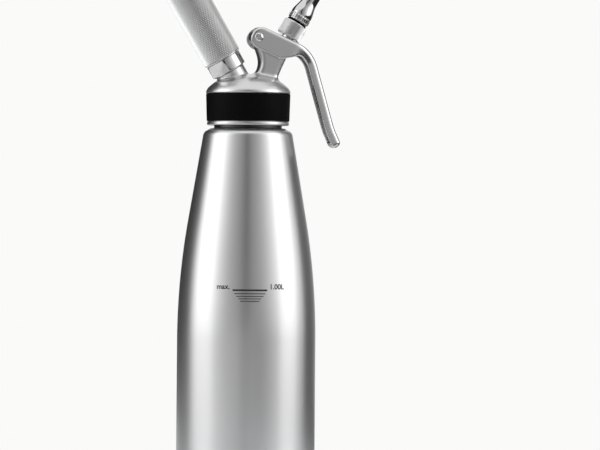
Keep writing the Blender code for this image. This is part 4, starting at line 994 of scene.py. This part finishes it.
def word_mesh(name, words, size, across, height):
    """Printed words as a thin closed mesh, wrapped on the bottle."""
    curve = bpy.data.curves.new(name, "FONT")
    curve.body = words
    curve.size = size
    curve.align_x = "CENTER"
    curve.extrude = PRINT_LIFT / 2
    curve.offset = size * 0.022
    carrier = bpy.data.objects.new(name, curve)
    bpy.context.collection.objects.link(carrier)
    bpy.context.view_layer.update()
    mesh = bpy.data.meshes.new_from_object(carrier.evaluated_get(bpy.context.evaluated_depsgraph_get()))
    bpy.data.objects.remove(carrier)
    mesh.transform(Matrix.Translation((across, 0, height)) @ Matrix.Rotation(math.pi / 2, 4, "X"))
    return wrapped(mesh, MARK_AZIMUTH)


class DISPENSER_OT_bottle(bpy.types.Operator):
    """Turn the bottle's steel shell and wind the thread on its neck"""
    bl_idname = "dispenser.bottle"
    bl_label = "Bottle"

    def execute(self, context):
        mesh = turned_mesh("bottle_shell", bottle_profile(), FINE, UPRIGHT)
        add_piece("bottle_shell", mesh, bottle_steel(), "bottle", ["bottle"])
        values = {
            "Radius": NECK_RADIUS - 0.00015, "Start": 0.2600, "Lead": sizes().neck_lead, "Turns": 3.0, "Ridge": 0.00045,
            "Material": bottle_steel(),
        }
        thread = mesh_from_tree("neck_thread", thread_tree(), values, UPRIGHT)
        add_piece("neck_thread", thread, None, "bottle")
        return {"FINISHED"}


class DISPENSER_OT_print(bpy.types.Operator):
    """Print the fill mark and its words on the bottle"""
    bl_idname = "dispenser.print"
    bl_label = "Printed Marks"

    def execute(self, context):
        for index, (half_width, height, thickness) in enumerate(MARK_LINES):
            mesh = line_mesh(f"fill_line_{index}", half_width, height, thickness)
            add_piece(f"fill_line_{index}", mesh, printed_ink(), "bottle")
        size = sizes().word_height
        for name, words, across in WORDS:
            mesh = word_mesh(name, words, size, across, WORD_BASE)
            add_piece(name, mesh, printed_ink(), "bottle")
        return {"FINISHED"}


# Head


def skirt_profile():
    """The head's lip and band seat, with the skirt's bore."""
    lip_top = LIP_BOTTOM + LIP_HEIGHT
    corners = [
        (SKIRT_BORE, CEILING + 0.002, 0), (SKIRT_BORE, lip_top, 0.0004), (SKIRT_BORE + 0.0022, LIP_BOTTOM, 0.0004),
        (LIP_RADIUS, LIP_BOTTOM, 0.0009), (LIP_RADIUS, lip_top, 0.0007), (SEAT_RADIUS, lip_top, 0.0001),
        (SEAT_RADIUS, SEAT_TOP - 0.0004, 0),
    ]
    return rounded(corners)


def dome_outline():
    """Half of the dome's section, with the seat under it, as (radius, height)."""
    curve = smooth_line([(DOME_RADIUS * wide, SEAT_TOP + DOME_HEIGHT * high) for wide, high in DOME_SHARES])
    return [(SEAT_RADIUS - 0.0002, CEILING), (SEAT_RADIUS - 0.0002, SEAT_TOP)] + curve + [
        (-0.002, SEAT_TOP + DOME_HEIGHT), (-0.002, CEILING)
    ]


def cavity_outline():
    curve = smooth_line([(CAVITY_RADIUS * wide, CEILING + CAVITY_HEIGHT * high) for wide, high in CAVITY_SHARES])
    return [(-0.002, CEILING - 0.003)] + curve + [(-0.002, CEILING + CAVITY_HEIGHT)]


def tower_outline():
    """The tower's side view: the barrel's right side, the boss round the pivot and the throat."""
    crest = math.asin((TOWER_TOP - PIVOT_STATION) / BOSS_RADIUS)
    boss = [
        (PIVOT_OFFSET + BOSS_RADIUS * math.cos(turn), PIVOT_STATION + BOSS_RADIUS * math.sin(turn))
        for turn in np.linspace(crest, math.radians(292), 40)
    ]
    right = smooth_line(TOWER_OUTLINE)
    throat = smooth_line([boss[-1]] + list(TOWER_THROAT))
    return right + boss + throat[1:]


def casting_field():
    """The whole casting as a distance field in world points."""
    dome = outline_field(dome_outline())
    cavity = outline_field(cavity_outline())
    tower = outline_field(tower_outline())

    def field(points):
        across = np.hypot(points[:, 0], points[:, 1])
        height = points[:, 2]
        inlet = in_place(points, INLET)
        valve = in_place(points, VALVE)
        lever = in_place(points, LEVER)
        body = dome(across, height)
        neck = rod_field(inlet, INLET_NECK_RADIUS - 0.0001, 0.010, HOLDER_MOUTH - 0.0003)
        body = smooth_union(body, neck, 0.0012)
        side = np.abs(valve[1]) - TOWER_HALF_DEPTH
        body = smooth_union(body, smooth_overlap(tower(valve[0], valve[2]), side, 0.0042), 0.0034)
        body = smooth_cut(body, cavity(across, height), 0.0006)
        body = smooth_cut(body, np.maximum(across - SKIRT_BORE, height - CEILING), 0.0004)
        body = np.maximum(body, CEILING + 0.0004 - height)
        body = smooth_union(body, rod_field(valve, 0.0062, 0.0125, 0.0235), 0.0010)
        body = smooth_union(body, rod_field(inlet, 0.0070, 0.0150, 0.0266), 0.0010)
        body = smooth_union(body, rod_field(inlet, SPIGOT_RADIUS - 0.0001, 0.0200, SPIGOT_TOP), 0.0003)
        body = smooth_cut(body, rod_field(inlet, PIN_POCKET_RADIUS, 0.0270, 0.0500), 0.0003)
        body = smooth_cut(body, rod_field(inlet, 0.0065, 0.0050, 0.0150), 0.0004)
        body = smooth_cut(body, rod_field(inlet, 0.0020, 0.0100, 0.0300), 0.0003)
        body = smooth_cut(body, rod_field(inlet, 0.0045, 0.0250, 0.0300), 0.0003)
        body = smooth_cut(body, rod_field(valve, 0.0080, 0.0020, 0.0125), 0.0004)
        body = smooth_cut(body, rod_field(valve, 0.0035, 0.0100, 0.0400), 0.0003)
        body = smooth_cut(body, rod_field(valve, 0.00475, 0.0300, 0.0600), 0.0004)
        return smooth_cut(body, np.hypot(lever[0], lever[2]) - PIVOT_HOLE, 0.0004)

    return field


class DISPENSER_OT_head(bpy.types.Operator):
    """Carve the head's casting and turn its skirt, band and threads"""
    bl_idname = "dispenser.head"
    bl_label = "Head"

    def execute(self, context):
        field = casting_field()
        mesh = carved_mesh("head_casting", field, (-0.031, -0.031, CEILING), (0.033, 0.031, 0.3285), CARVE_STEP * 1.06)
        add_piece("head_casting", mesh, casting_steel(), "head", ["head"])
        skirt = turned_mesh("head_skirt", skirt_profile(), FINE, UPRIGHT)
        add_piece("head_skirt", skirt, casting_steel(), "head", ["head"])
        band = rounded([
            (0.0282, 0.2601, 0.0003), (0.0293, 0.2601, 0.0006), (0.0299, 0.2797, 0.0006), (0.0282, 0.2797, 0.0003),
        ])
        band = turned_mesh("grip_band_sleeve", band, FINE, UPRIGHT)
        add_piece("grip_band_sleeve", band, black_silicone(), "head", ["grip_band"])
        values = {
            "Radius": SPIGOT_RADIUS - 0.0001, "Start": 0.0285, "Lead": 0.0020, "Turns": 4.5, "Ridge": 0.00030,
            "Material": casting_steel(),
        }
        thread = mesh_from_tree("spigot_thread", thread_tree(), values, INLET)
        add_piece("spigot_thread", thread, None, "head")
        return {"FINISHED"}


# Charger holder


def holder_profile():
    mouth_bore = SPIGOT_RADIUS + 0.0003
    return rounded([
        (0, HOLDER_END - 0.0020, 0), (CHARGER_BORE, HOLDER_END - 0.0020, 0.001), (CHARGER_BORE, 0.0392, 0), (mouth_bore, 0.0392, 0.0002),
        (mouth_bore, HOLDER_MOUTH, 0.0004), (HOLDER_RING_RADIUS, HOLDER_MOUTH, 0.0011),
        (HOLDER_RING_RADIUS, RING_TOP, 0.0004), (HOLDER_TUBE_RADIUS, RING_TOP, 0.0002),
        (HOLDER_TUBE_RADIUS, HOLDER_END, 0.0004), (0, HOLDER_END, 0),
    ])


class DISPENSER_OT_holder(bpy.types.Operator):
    """Turn the charger holder and roll the diamond knurl on its grip"""
    bl_idname = "dispenser.holder"
    bl_label = "Charger Holder"

    def execute(self, context):
        body = turned_mesh("holder_tube", holder_profile(), FINE, INLET)
        add_piece("holder_tube", body, holder_steel(), "holder", ["holder_body"])
        depth = sizes().tooth_height
        corners = [
            (0, GRIP_END - 0.0025, 0), (0.0119, GRIP_END - 0.0025, 0.0002), (0.0119, GRIP_START, 0.0003),
            (GRIP_LOWER, GRIP_START, 0.0005), (GRIP_LOWER, GRIP_START + 0.0006, 0), (GRIP_LOWER - depth, KNURL_START, 0),
            (GRIP_UPPER - depth, KNURL_END, 0), (GRIP_UPPER, KNURL_END + 0.0003, 0.0001), (GRIP_UPPER, GRIP_END, 0.0022),
            (0, GRIP_END, 0),
        ]
        core = turned_mesh("grip_core", rounded(corners), FINE, INLET)
        add_piece("grip_core", core, knurled_steel(), "holder", ["holder_grip"])
        rows = sizes().grip_rows
        values = {
            "Start Radius": GRIP_LOWER - depth * 0.5, "End Radius": GRIP_UPPER - depth * 0.5, "Start": KNURL_START,
            "Length": KNURL_END - KNURL_START, "Teeth": sizes().grip_teeth, "Rows": rows, "Tooth Height": depth,
            "Tooth Length": 2 * (KNURL_END - KNURL_START) / rows, "Blunt": 0.28, "Material": knurled_steel(),
        }
        teeth = mesh_from_tree("grip_knurl", knurl_tree(), values, INLET)
        add_piece("grip_knurl", teeth, None, "holder", ["holder_grip"])
        return {"FINISHED"}


# Lever


def lever_station(x, z):
    """How far along the web a point lies, and how deep under the web's outer surface."""
    bend_length, kick_length = BEND_RADIUS * BEND, KICK_RADIUS * KICK
    centre_z = WEB_TOP - BEND_RADIUS
    handle_x = BEND_START + BEND_RADIUS * math.sin(BEND)
    handle_z = centre_z + BEND_RADIUS * math.cos(BEND)
    along = (x - handle_x) * math.cos(BEND) - (z - handle_z) * math.sin(BEND)
    away = -(x - handle_x) * math.sin(BEND) - (z - handle_z) * math.cos(BEND)
    turn = np.arctan2(x - BEND_START, z - centre_z)
    station = np.where(x < BEND_START, x, BEND_START + BEND_RADIUS * np.clip(turn, 0, BEND))
    depth = np.where(x < BEND_START, WEB_TOP - z, BEND_RADIUS - np.hypot(x - BEND_START, z - centre_z))
    handle = (along > 0) & (x > BEND_START)
    station = np.where(handle, BEND_START + bend_length + along, station)
    depth = np.where(handle, away, depth)
    past = along - HANDLE_LENGTH
    swing = np.arctan2(past, away + KICK_RADIUS)
    kicked = handle & (past > 0)
    station = np.where(kicked, BEND_START + bend_length + HANDLE_LENGTH + KICK_RADIUS * swing, station)
    depth = np.where(kicked, np.hypot(past, away + KICK_RADIUS) - KICK_RADIUS, depth)
    tip = kicked & (swing > KICK)
    tip_x, tip_z = KICK_RADIUS * math.sin(KICK), KICK_RADIUS * math.cos(KICK)
    level = away + KICK_RADIUS
    station = np.where(
        tip, BEND_START + bend_length + HANDLE_LENGTH + kick_length
        + (past - tip_x) * math.cos(KICK) - (level - tip_z) * math.sin(KICK), station
    )
    depth = np.where(tip, (past - tip_x) * math.sin(KICK) + (level - tip_z) * math.cos(KICK), depth)
    return station, depth


def eased(value, low, high):
    share = np.clip((value - low) / (high - low), 0, 1)
    return share * share * (3 - 2 * share)


def lever_field():
    """The pressed channel with its slot, its open mouth and the pivot's hole, in the lever's own frame."""
    length = BEND_START + BEND_RADIUS * BEND + HANDLE_LENGTH + KICK_RADIUS * KICK + TIP_LENGTH
    tip_middle = length - HANDLE_DEPTH / 2

    def field(points):
        x, y, z = points.T
        station, depth = lever_station(x, z)
        plate = PLATE_DEPTH + (HANDLE_DEPTH - PLATE_DEPTH) * eased(station, 0.0180, 0.0365)
        half = HALF_WIDTH + (HANDLE_HALF_WIDTH - HALF_WIDTH) * eased(station, 0.0260, 0.0480)
        end = np.maximum(0, station - tip_middle) / (HANDLE_DEPTH / 2)
        half = half * (1 - 0.38 * np.clip(end, 0, 1) ** 3)
        middle = depth - plate / 2
        side_view = np.abs(middle) - plate / 2
        side_view = np.where(station < END_X, np.hypot(station - END_X, middle) - END_RADIUS, side_view)
        side_view = np.where(station > tip_middle, np.hypot(station - tip_middle, middle) - plate / 2, side_view)
        side = np.abs(y) - half
        edge = 0.0032 + 0.0006 * eased(station, 0.0280, 0.0450)
        edge = edge + (0.0012 - edge) * eased(depth / plate, 0.45, 0.85)
        body = smooth_overlap(side_view, side, edge)
        floor = WEB - depth
        channel = smooth_overlap(floor, np.abs(y) - (half - PLATE), 0.0026)
        channel = smooth_overlap(channel, station - (tip_middle - 0.0022), 0.0014)
        body = smooth_cut(body, channel, 0.0007)
        slot = np.hypot(np.maximum(np.abs(x - SLOT_CENTRE) - (SLOT_HALF_LENGTH - SLOT_HALF_WIDTH), 0), y)
        slot = np.maximum(slot - SLOT_HALF_WIDTH, depth - 0.004)
        body = smooth_cut(body, slot, 0.0006)
        return smooth_cut(body, np.hypot(x, z) - PIVOT_HOLE, 0.0005)

    return field


class DISPENSER_OT_lever(bpy.types.Operator):
    """Press the lever's channel and fit the pivot's screw and sleeve"""
    bl_idname = "dispenser.lever"
    bl_label = "Lever"

    def execute(self, context):
        low, high = (-0.0066, -0.0106, -0.0560), (0.0880, 0.0106, 0.0086)
        mesh = carved_mesh("lever_channel", lever_field(), low, high, CARVE_STEP * 0.86, LEVER)
        add_piece("lever_channel", mesh, lever_steel(), "lever", ["lever"])
        add_piece("pivot_screw_head", screw_mesh(), screw_steel(), "lever", ["pivot_screw"])
        face = HALF_WIDTH + 0.0003
        sleeve = rounded([
            (0.0017, -HALF_WIDTH, 0), (0.0024, -HALF_WIDTH, 0.0003), (0.0024, face, 0), (0.00325, face, 0.0003),
            (0.00325, face + 0.0012, 0.0007), (0.0017, face + 0.0012, 0.0003),
        ])
        add_piece("pivot_nut", turned_mesh("pivot_nut", sleeve, ROUND, SLEEVE), screw_steel(), "lever",
                  ["pivot_sleeve"])
        return {"FINISHED"}


def screw_mesh():
    """A round head with a tapered cross recess on a plain shank."""
    face = HALF_WIDTH + 0.0003

    def field(points):
        x, y, z = points.T
        across = np.hypot(x, y)
        crown = np.sqrt(across ** 2 + (z - (face + 0.0014 - 0.0052)) ** 2) - 0.0052
        head = smooth_overlap(crown, np.maximum(across - 0.0032, face - z), 0.0004)
        shank = np.maximum(across - 0.0014, np.abs(z - 0.0022) - 0.0085)
        body = smooth_union(head, shank, 0.0003)
        fall = (face + 0.0014 - z) * 0.35
        arms = [
            np.maximum(np.abs(long) - (0.0021 - fall), np.abs(short) - (0.00062 - fall * 0.25)) for long, short in ((x, y), (y, x))
        ]
        recess = np.maximum(np.minimum(*arms), face - 0.0002 - z)
        return smooth_cut(body, recess, 0.00018)

    return carved_mesh("pivot_screw_head", field, (-0.0033, -0.0033, -0.0064), (0.0033, 0.0033, 0.0122), 0.00011, SCREW)


# Valve pieces above the lever, and the nozzle


def adapter_profile():
    depth = sizes().tooth_height * 0.7
    top = RING_BOTTOM + RING_HEIGHT
    return rounded([
        (0.0028, COLLAR_TOP + 0.0003, 0), (0.0042, COLLAR_TOP + 0.0003, 0.0002), (0.0042, RING_BOTTOM, 0.0002),
        (RING_RADIUS - depth, RING_BOTTOM, 0.0004), (RING_RADIUS - depth, top, 0.0004), (0.0057, top, 0.0001),
        (0.0057, top + 0.0070, 0.0004), (0.0019, top + 0.0070, 0.0003), (0.0019, RING_BOTTOM + 0.0058, 0),
        (0.0028, RING_BOTTOM + 0.0058, 0),
    ])


def nozzle_profile():
    """Ribbed foot, S-shaped shoulder, slim tube and a rounded lip."""
    foot, tube, tip = 0.0077, 0.00575, 0.0052
    bottom, top = NOZZLE_BOTTOM, NOZZLE_BOTTOM + NOZZLE_LENGTH
    shoulder = []
    for share in np.linspace(0, 1, 22):
        fall = share * share * (3 - 2 * share)
        shoulder.append((foot - (foot - tube) * fall, bottom + 0.0055 + 0.0107 * share))
    start = rounded([
        (foot - 0.0010, bottom, 0), (foot - 0.00035, bottom, 0.0003), (foot - 0.00035, bottom + 0.0044, 0.0001),
        (foot, bottom + 0.0047, 0.0002), (*shoulder[1], 0),
    ])
    end = rounded([
        (*shoulder[-2], 0), (tube, shoulder[-1][1], 0), (tip, top, 0.0005), (tip - 0.0010, top, 0.0005),
        (tube - 0.0010, shoulder[-1][1], 0.0005), (0.0050, NOZZLE_BOTTOM + 0.0055, 0.0002), (0.0060, NOZZLE_BOTTOM + 0.0055, 0.0002),
        (0.0060, bottom, 0.0003), (foot - 0.0010, bottom, 0),
    ])
    return start + shoulder[2:-2] + end[:-1]


class DISPENSER_OT_nozzle(bpy.types.Operator):
    """Turn the collar, the coupling ring, its seal and the nozzle"""
    bl_idname = "dispenser.nozzle"
    bl_label = "Coupling and Nozzle"

    def execute(self, context):
        bottom, top = COLLAR_TOP - 0.0018, COLLAR_TOP
        collar = rounded([
            (0.0028, bottom, 0.0002), (0.0060, bottom, 0.0003), (0.0060, top - 0.0009, 0.0005), (0.0048, top, 0.0004),
            (0.0028, top, 0.0002),
        ])
        add_piece("collar", turned_mesh("collar", collar, ROUND, VALVE), stem_steel(), "valve",
                  ["lever_collar"])
        adapter = turned_mesh("coupling_core", adapter_profile(), ROUND, VALVE)
        add_piece("coupling_core", adapter, ring_steel(), "valve", ["nozzle_adapter"])
        depth = sizes().tooth_height * 0.7
        rows = sizes().ring_rows
        start, length = RING_BOTTOM + 0.0005, RING_HEIGHT - 0.0010
        values = {
            "Start Radius": RING_RADIUS - depth * 0.5, "End Radius": RING_RADIUS - depth * 0.5, "Start": start,
            "Length": length, "Teeth": sizes().ring_teeth, "Rows": rows, "Tooth Height": depth,
            "Tooth Length": 2 * length / rows, "Blunt": 0.28, "Material": ring_steel(),
        }
        add_piece("coupling_knurl", mesh_from_tree("coupling_knurl", knurl_tree(), values, VALVE), None, "valve",
                  ["nozzle_adapter"])
        values = {
            "Radius": 0.0056, "Start": RING_BOTTOM + RING_HEIGHT + 0.0012, "Lead": 0.00125, "Turns": 4.0, "Ridge": 0.00025,
            "Material": ring_steel(),
        }
        add_piece("coupling_thread", mesh_from_tree("coupling_thread", thread_tree(), values, VALVE), None, "valve")
        seal_bottom = RING_BOTTOM + RING_HEIGHT + 0.0003
        seal = rounded([
            (0.0060, seal_bottom, 0.0002), (0.0072, seal_bottom, 0.0004), (0.0072, seal_bottom + 0.0012, 0.0004),
            (0.0060, seal_bottom + 0.0012, 0.0002),
        ])
        add_piece("nozzle_washer", turned_mesh("nozzle_washer", seal, ROUND, VALVE), black_silicone(), "nozzle_lift",
                  ["nozzle_seal"])
        nozzle = turned_mesh("nozzle_tube", nozzle_profile(), ROUND, VALVE, math.radians(30))
        add_piece("nozzle_tube", nozzle, nozzle_steel(), "nozzle", ["nozzle"])
        values = {
            "Start Radius": 0.0077 - 0.00022, "End Radius": 0.0077 - 0.00022, "Start": NOZZLE_BOTTOM + 0.0005,
            "Length": 0.0038, "Teeth": sizes().nozzle_ribs, "Rows": 1, "Tooth Height": 0.00040,
            "Tooth Length": 0.0038 * math.sqrt(2), "Blunt": 0.6, "Corner Turn": math.pi / 4, "Stagger": 0.0,
            "Material": nozzle_steel(),
        }
        add_piece("nozzle_ribs", mesh_from_tree("nozzle_ribs", knurl_tree(), values, VALVE), None, "nozzle",
                  ["nozzle"])
        return {"FINISHED"}


class DISPENSER_OT_inner_pieces(bpy.types.Operator):
    """Finish the seals, the brass pieces, the spring, the stem and the charger"""
    bl_idname = "dispenser.inner_pieces"
    bl_label = "Inner Pieces"

    def execute(self, context):
        finishes = {
            "head_gasket": pale_silicone, "pin_seal": pale_silicone, "check_valve": pale_silicone,
            "stem_seal": pale_silicone, "stem_oring": black_silicone, "holder_cushion": black_silicone,
            "pin_holder": inlet_brass, "inlet_filter": inlet_brass, "valve_bush": valve_brass,
            "piercing_pin": charger_steel, "gas_charger": charger_steel, "valve_stem": stem_steel,
            "valve_spring": spring_steel,
        }
        for name, material in finishes.items():
            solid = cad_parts[name]
            for slot in solid.material_slots:
                slot.material = material()
        return {"FINISHED"}


# Stage


VIEW_AZIMUTH = math.radians(-10.0)
VIEW_DISTANCE = 3.5
VIEW_HEIGHT = 0.1871
VIEW_SIDE = 0.0374
VIEW_ROLL = math.radians(0.48)
FRAME_WIDTH = 0.4248
SENSOR = 0.036


def toward(azimuth, elevation=0.0):
    """Unit vector from the object to an eye at an azimuth from -Y and an elevation."""
    flat = math.cos(elevation)
    return Vector((math.sin(azimuth) * flat, -math.cos(azimuth) * flat, math.sin(elevation)))


def facing(place, target):
    """A turn that points an object's -Z from its place to a target, with +Y up."""
    return (Vector(target) - Vector(place)).to_track_quat("-Z", "Y")


def place_camera():
    camera = bpy.data.cameras.new("studio_camera")
    camera.sensor_width = SENSOR * 1000
    camera.lens = SENSOR * 1000 * VIEW_DISTANCE / FRAME_WIDTH
    camera.clip_start = 0.05
    camera.clip_end = 50.0
    eye = bpy.data.objects.new("studio_camera", camera)
    bpy.context.collection.objects.link(eye)
    side = Vector((math.cos(VIEW_AZIMUTH), math.sin(VIEW_AZIMUTH), 0))
    target = side * VIEW_SIDE + Vector((0, 0, VIEW_HEIGHT))
    eye.location = target + toward(VIEW_AZIMUTH) * VIEW_DISTANCE
    turn = facing(eye.location, target).to_matrix().to_4x4() @ Matrix.Rotation(VIEW_ROLL, 4, "Z")
    eye.rotation_euler = turn.to_euler()
    bpy.context.scene.camera = eye


def soft_box(name, azimuth, elevation, distance, width, height, radiance):
    """A rectangular light that faces the head of the bottle."""
    light = bpy.data.lights.new(name, "AREA")
    light.shape = "RECTANGLE"
    light.size = width
    light.size_y = height
    light.energy = radiance * math.pi * width * height
    lamp = bpy.data.objects.new(name, light)
    bpy.context.collection.objects.link(lamp)
    target = Vector((0, 0, 0.18))
    lamp.location = target + toward(azimuth, elevation) * distance
    lamp.rotation_mode = "QUATERNION"
    lamp.rotation_quaternion = facing(lamp.location, target)
    return lamp


def card_material(name, stops):
    """A card whose brightness follows the share of its width, from Object coordinates."""
    material = bpy.data.materials.new(name)
    material.use_nodes = True
    tree = material.node_tree
    tree.nodes.clear()
    output = tree.nodes.new("ShaderNodeOutputMaterial")
    glow = tree.nodes.new("ShaderNodeEmission")
    coordinates = tree.nodes.new("ShaderNodeTexCoord")
    parts = tree.nodes.new("ShaderNodeSeparateXYZ")
    wire(tree, coordinates.outputs["Object"], parts.inputs[0])
    ramp = tree.nodes.new("ShaderNodeValToRGB")
    wire(tree, math_node(tree, "ADD", parts.outputs[0], 0.5), ramp.inputs[0])
    elements = ramp.color_ramp.elements
    while len(elements) < len(stops):
        elements.new(1.0)
    for element, (place, level) in zip(elements, stops):
        element.position = place
        element.color = (level, level, level, 1.0)
    wire(tree, ramp.outputs["Color"], glow.inputs["Color"])
    wire(tree, glow.outputs[0], output.inputs["Surface"])
    return material


def card(name, azimuth, distance, width, height, stops):
    """An upright card of unit width in its own frame, seen only in reflections."""
    mesh = bpy.data.meshes.new(name)
    mesh.from_pydata([(-0.5, -0.5, 0), (0.5, -0.5, 0), (0.5, 0.5, 0), (-0.5, 0.5, 0)], [], [(0, 1, 2, 3)])
    mesh.materials.append(card_material(name, stops))
    piece = bpy.data.objects.new(name, mesh)
    bpy.context.collection.objects.link(piece)
    piece.scale = (width, height, 1)
    piece.location = toward(azimuth) * distance + Vector((0, 0, 0.25))
    piece.rotation_mode = "QUATERNION"
    piece.rotation_quaternion = facing(piece.location, (0, 0, 0.25))
    piece.visible_camera = False
    piece.visible_diffuse = False
    piece.visible_shadow = False
    return piece


def place_floor():
    """A pale round table that fades into the backdrop."""
    mesh = turned_mesh("table", [(0, -0.004), (0.55, -0.004), (0.55, 0.0), (0, 0.0)], ROUND, UPRIGHT)
    mesh.transform(Matrix.Translation((0, 0, -0.0001)))
    floor = bpy.data.objects.new("table", mesh)
    bpy.context.collection.objects.link(floor)
    material, shader = shaded("table_top", (0.90, 0.90, 0.895), 0.0, 0.6)
    tree = material.node_tree
    coordinates = tree.nodes.new("ShaderNodeTexCoord")
    length = tree.nodes.new("ShaderNodeVectorMath")
    length.operation = "LENGTH"
    wire(tree, coordinates.outputs["Object"], length.inputs[0])
    fade = tree.nodes.new("ShaderNodeMapRange")
    fade.interpolation_type = "SMOOTHSTEP"
    fade.inputs["From Min"].default_value = 0.22
    fade.inputs["From Max"].default_value = 0.54
    wire(tree, length.outputs["Value"], fade.inputs["Value"])
    clear = tree.nodes.new("ShaderNodeBsdfTransparent")
    mix = tree.nodes.new("ShaderNodeMixShader")
    wire(tree, fade.outputs[0], mix.inputs[0])
    wire(tree, shader.outputs[0], mix.inputs[1])
    wire(tree, clear.outputs[0], mix.inputs[2])
    wire(tree, mix.outputs[0], tree.nodes["Material Output"].inputs["Surface"])
    mesh.materials.append(material)


def light_world():
    """White to the eye and in reflections, and a soft grey for everything else."""
    world = bpy.data.worlds.new("studio")
    bpy.context.scene.world = world
    world.use_nodes = True
    tree = world.node_tree
    tree.nodes.clear()
    output = tree.nodes.new("ShaderNodeOutputWorld")
    shown = tree.nodes.new("ShaderNodeBackground")
    shown.inputs["Color"].default_value = (*finish().backdrop, 1.0)
    fill = tree.nodes.new("ShaderNodeBackground")
    fill.inputs["Color"].default_value = (0.95, 0.97, 1.0, 1.0)
    fill.inputs["Strength"].default_value = 0.80
    rays = tree.nodes.new("ShaderNodeLightPath")
    seen = math_node(tree, "MAXIMUM", rays.outputs["Is Camera Ray"],
                     math_node(tree, "MAXIMUM", rays.outputs["Is Glossy Ray"], rays.outputs["Is Transmission Ray"]))
    mix = tree.nodes.new("ShaderNodeMixShader")
    wire(tree, seen, mix.inputs[0])
    wire(tree, fill.outputs[0], mix.inputs[1])
    wire(tree, shown.outputs[0], mix.inputs[2])
    wire(tree, mix.outputs[0], output.inputs["Surface"])


class DISPENSER_OT_stage(bpy.types.Operator):
    """Set the camera, the table, the soft boxes, the reflection cards and the white world"""
    bl_idname = "dispenser.stage"
    bl_label = "Studio"

    def execute(self, context):
        place_camera()
        place_floor()
        light_world()
        degrees = math.radians
        soft_box("left_box", VIEW_AZIMUTH - degrees(76), degrees(14), 1.7, 1.25, 2.0, 0.85)
        soft_box("right_box", VIEW_AZIMUTH + degrees(75), degrees(16), 1.7, 1.1, 1.8, 0.95)
        centre = (
            (0.000, 0.82), (0.132, 0.56), (0.266, 0.42), (0.359, 0.34), (0.422, 0.27), (0.454, 0.13), (0.466, 0.006),
            (0.521, 0.006), (0.534, 0.15), (0.560, 0.29), (0.641, 0.35), (0.734, 0.43), (0.868, 0.60), (1.000, 0.85),
        )
        left_edge = ((0.00, 0.0), (0.50, 0.02), (1.00, 0.05))
        right_edge = ((0.00, 0.02), (0.40, 0.11), (0.70, 0.25), (1.00, 0.90))
        below = (
            (0.000, 0.50), (0.280, 0.05), (0.345, 0.05), (0.370, 0.85), (0.410, 0.85), (0.440, 0.55), (0.530, 0.55),
            (0.565, 0.02), (0.800, 0.02), (1.000, 0.50),
        )
        card("centre_card", VIEW_AZIMUTH, 4.2, 8.0, 9.0, centre)
        card("left_edge_card", VIEW_AZIMUTH - degrees(139), 1.6, 2.1, 3.2, left_edge)
        card("right_edge_card", VIEW_AZIMUTH + degrees(141), 1.6, 1.9, 3.2, right_edge)
        ground = card("ground_card", VIEW_AZIMUTH, 0.0, 5.0, 5.0, below)
        ground.location = (0, 0, -0.02)
        ground.rotation_mode = "XYZ"
        ground.rotation_euler = (0, 0, VIEW_AZIMUTH)
        bpy.context.scene.view_settings.view_transform = "Standard"
        return {"FINISHED"}


class DISPENSER_PT_panel(bpy.types.Panel):
    """Steps and sizes of the dispenser"""
    bl_idname = "DISPENSER_PT_panel"
    bl_label = "Dispenser"
    bl_space_type = "VIEW_3D"
    bl_region_type = "UI"
    bl_category = "Dispenser"

    def draw(self, context):
        layout = self.layout
        for operator in OPERATORS:
            layout.operator(operator.bl_idname)
        for group in (context.scene.dispenser_sizes, context.scene.dispenser_finish):
            box = layout.box()
            for name in group.__annotations__:
                box.prop(group, name)


OPERATORS = (
    DISPENSER_OT_stage,
    DISPENSER_OT_bottle,
    DISPENSER_OT_print,
    DISPENSER_OT_head,
    DISPENSER_OT_holder,
    DISPENSER_OT_lever,
    DISPENSER_OT_nozzle,
    DISPENSER_OT_inner_pieces,
)
CLASSES = (DispenserSizes, DispenserFinish) + OPERATORS + (DISPENSER_PT_panel,)


def register():
    for item in CLASSES:
        bpy.utils.register_class(item)
    bpy.types.Scene.dispenser_sizes = PointerProperty(type=DispenserSizes)
    bpy.types.Scene.dispenser_finish = PointerProperty(type=DispenserFinish)


def unregister():
    del bpy.types.Scene.dispenser_finish
    del bpy.types.Scene.dispenser_sizes
    for item in reversed(CLASSES):
        bpy.utils.unregister_class(item)


def main():
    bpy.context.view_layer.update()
    register()
    for operator in OPERATORS:
        group, name = operator.bl_idname.split(".")
        getattr(getattr(bpy.ops, group), name)()


if __name__ == "__main__":
    main()
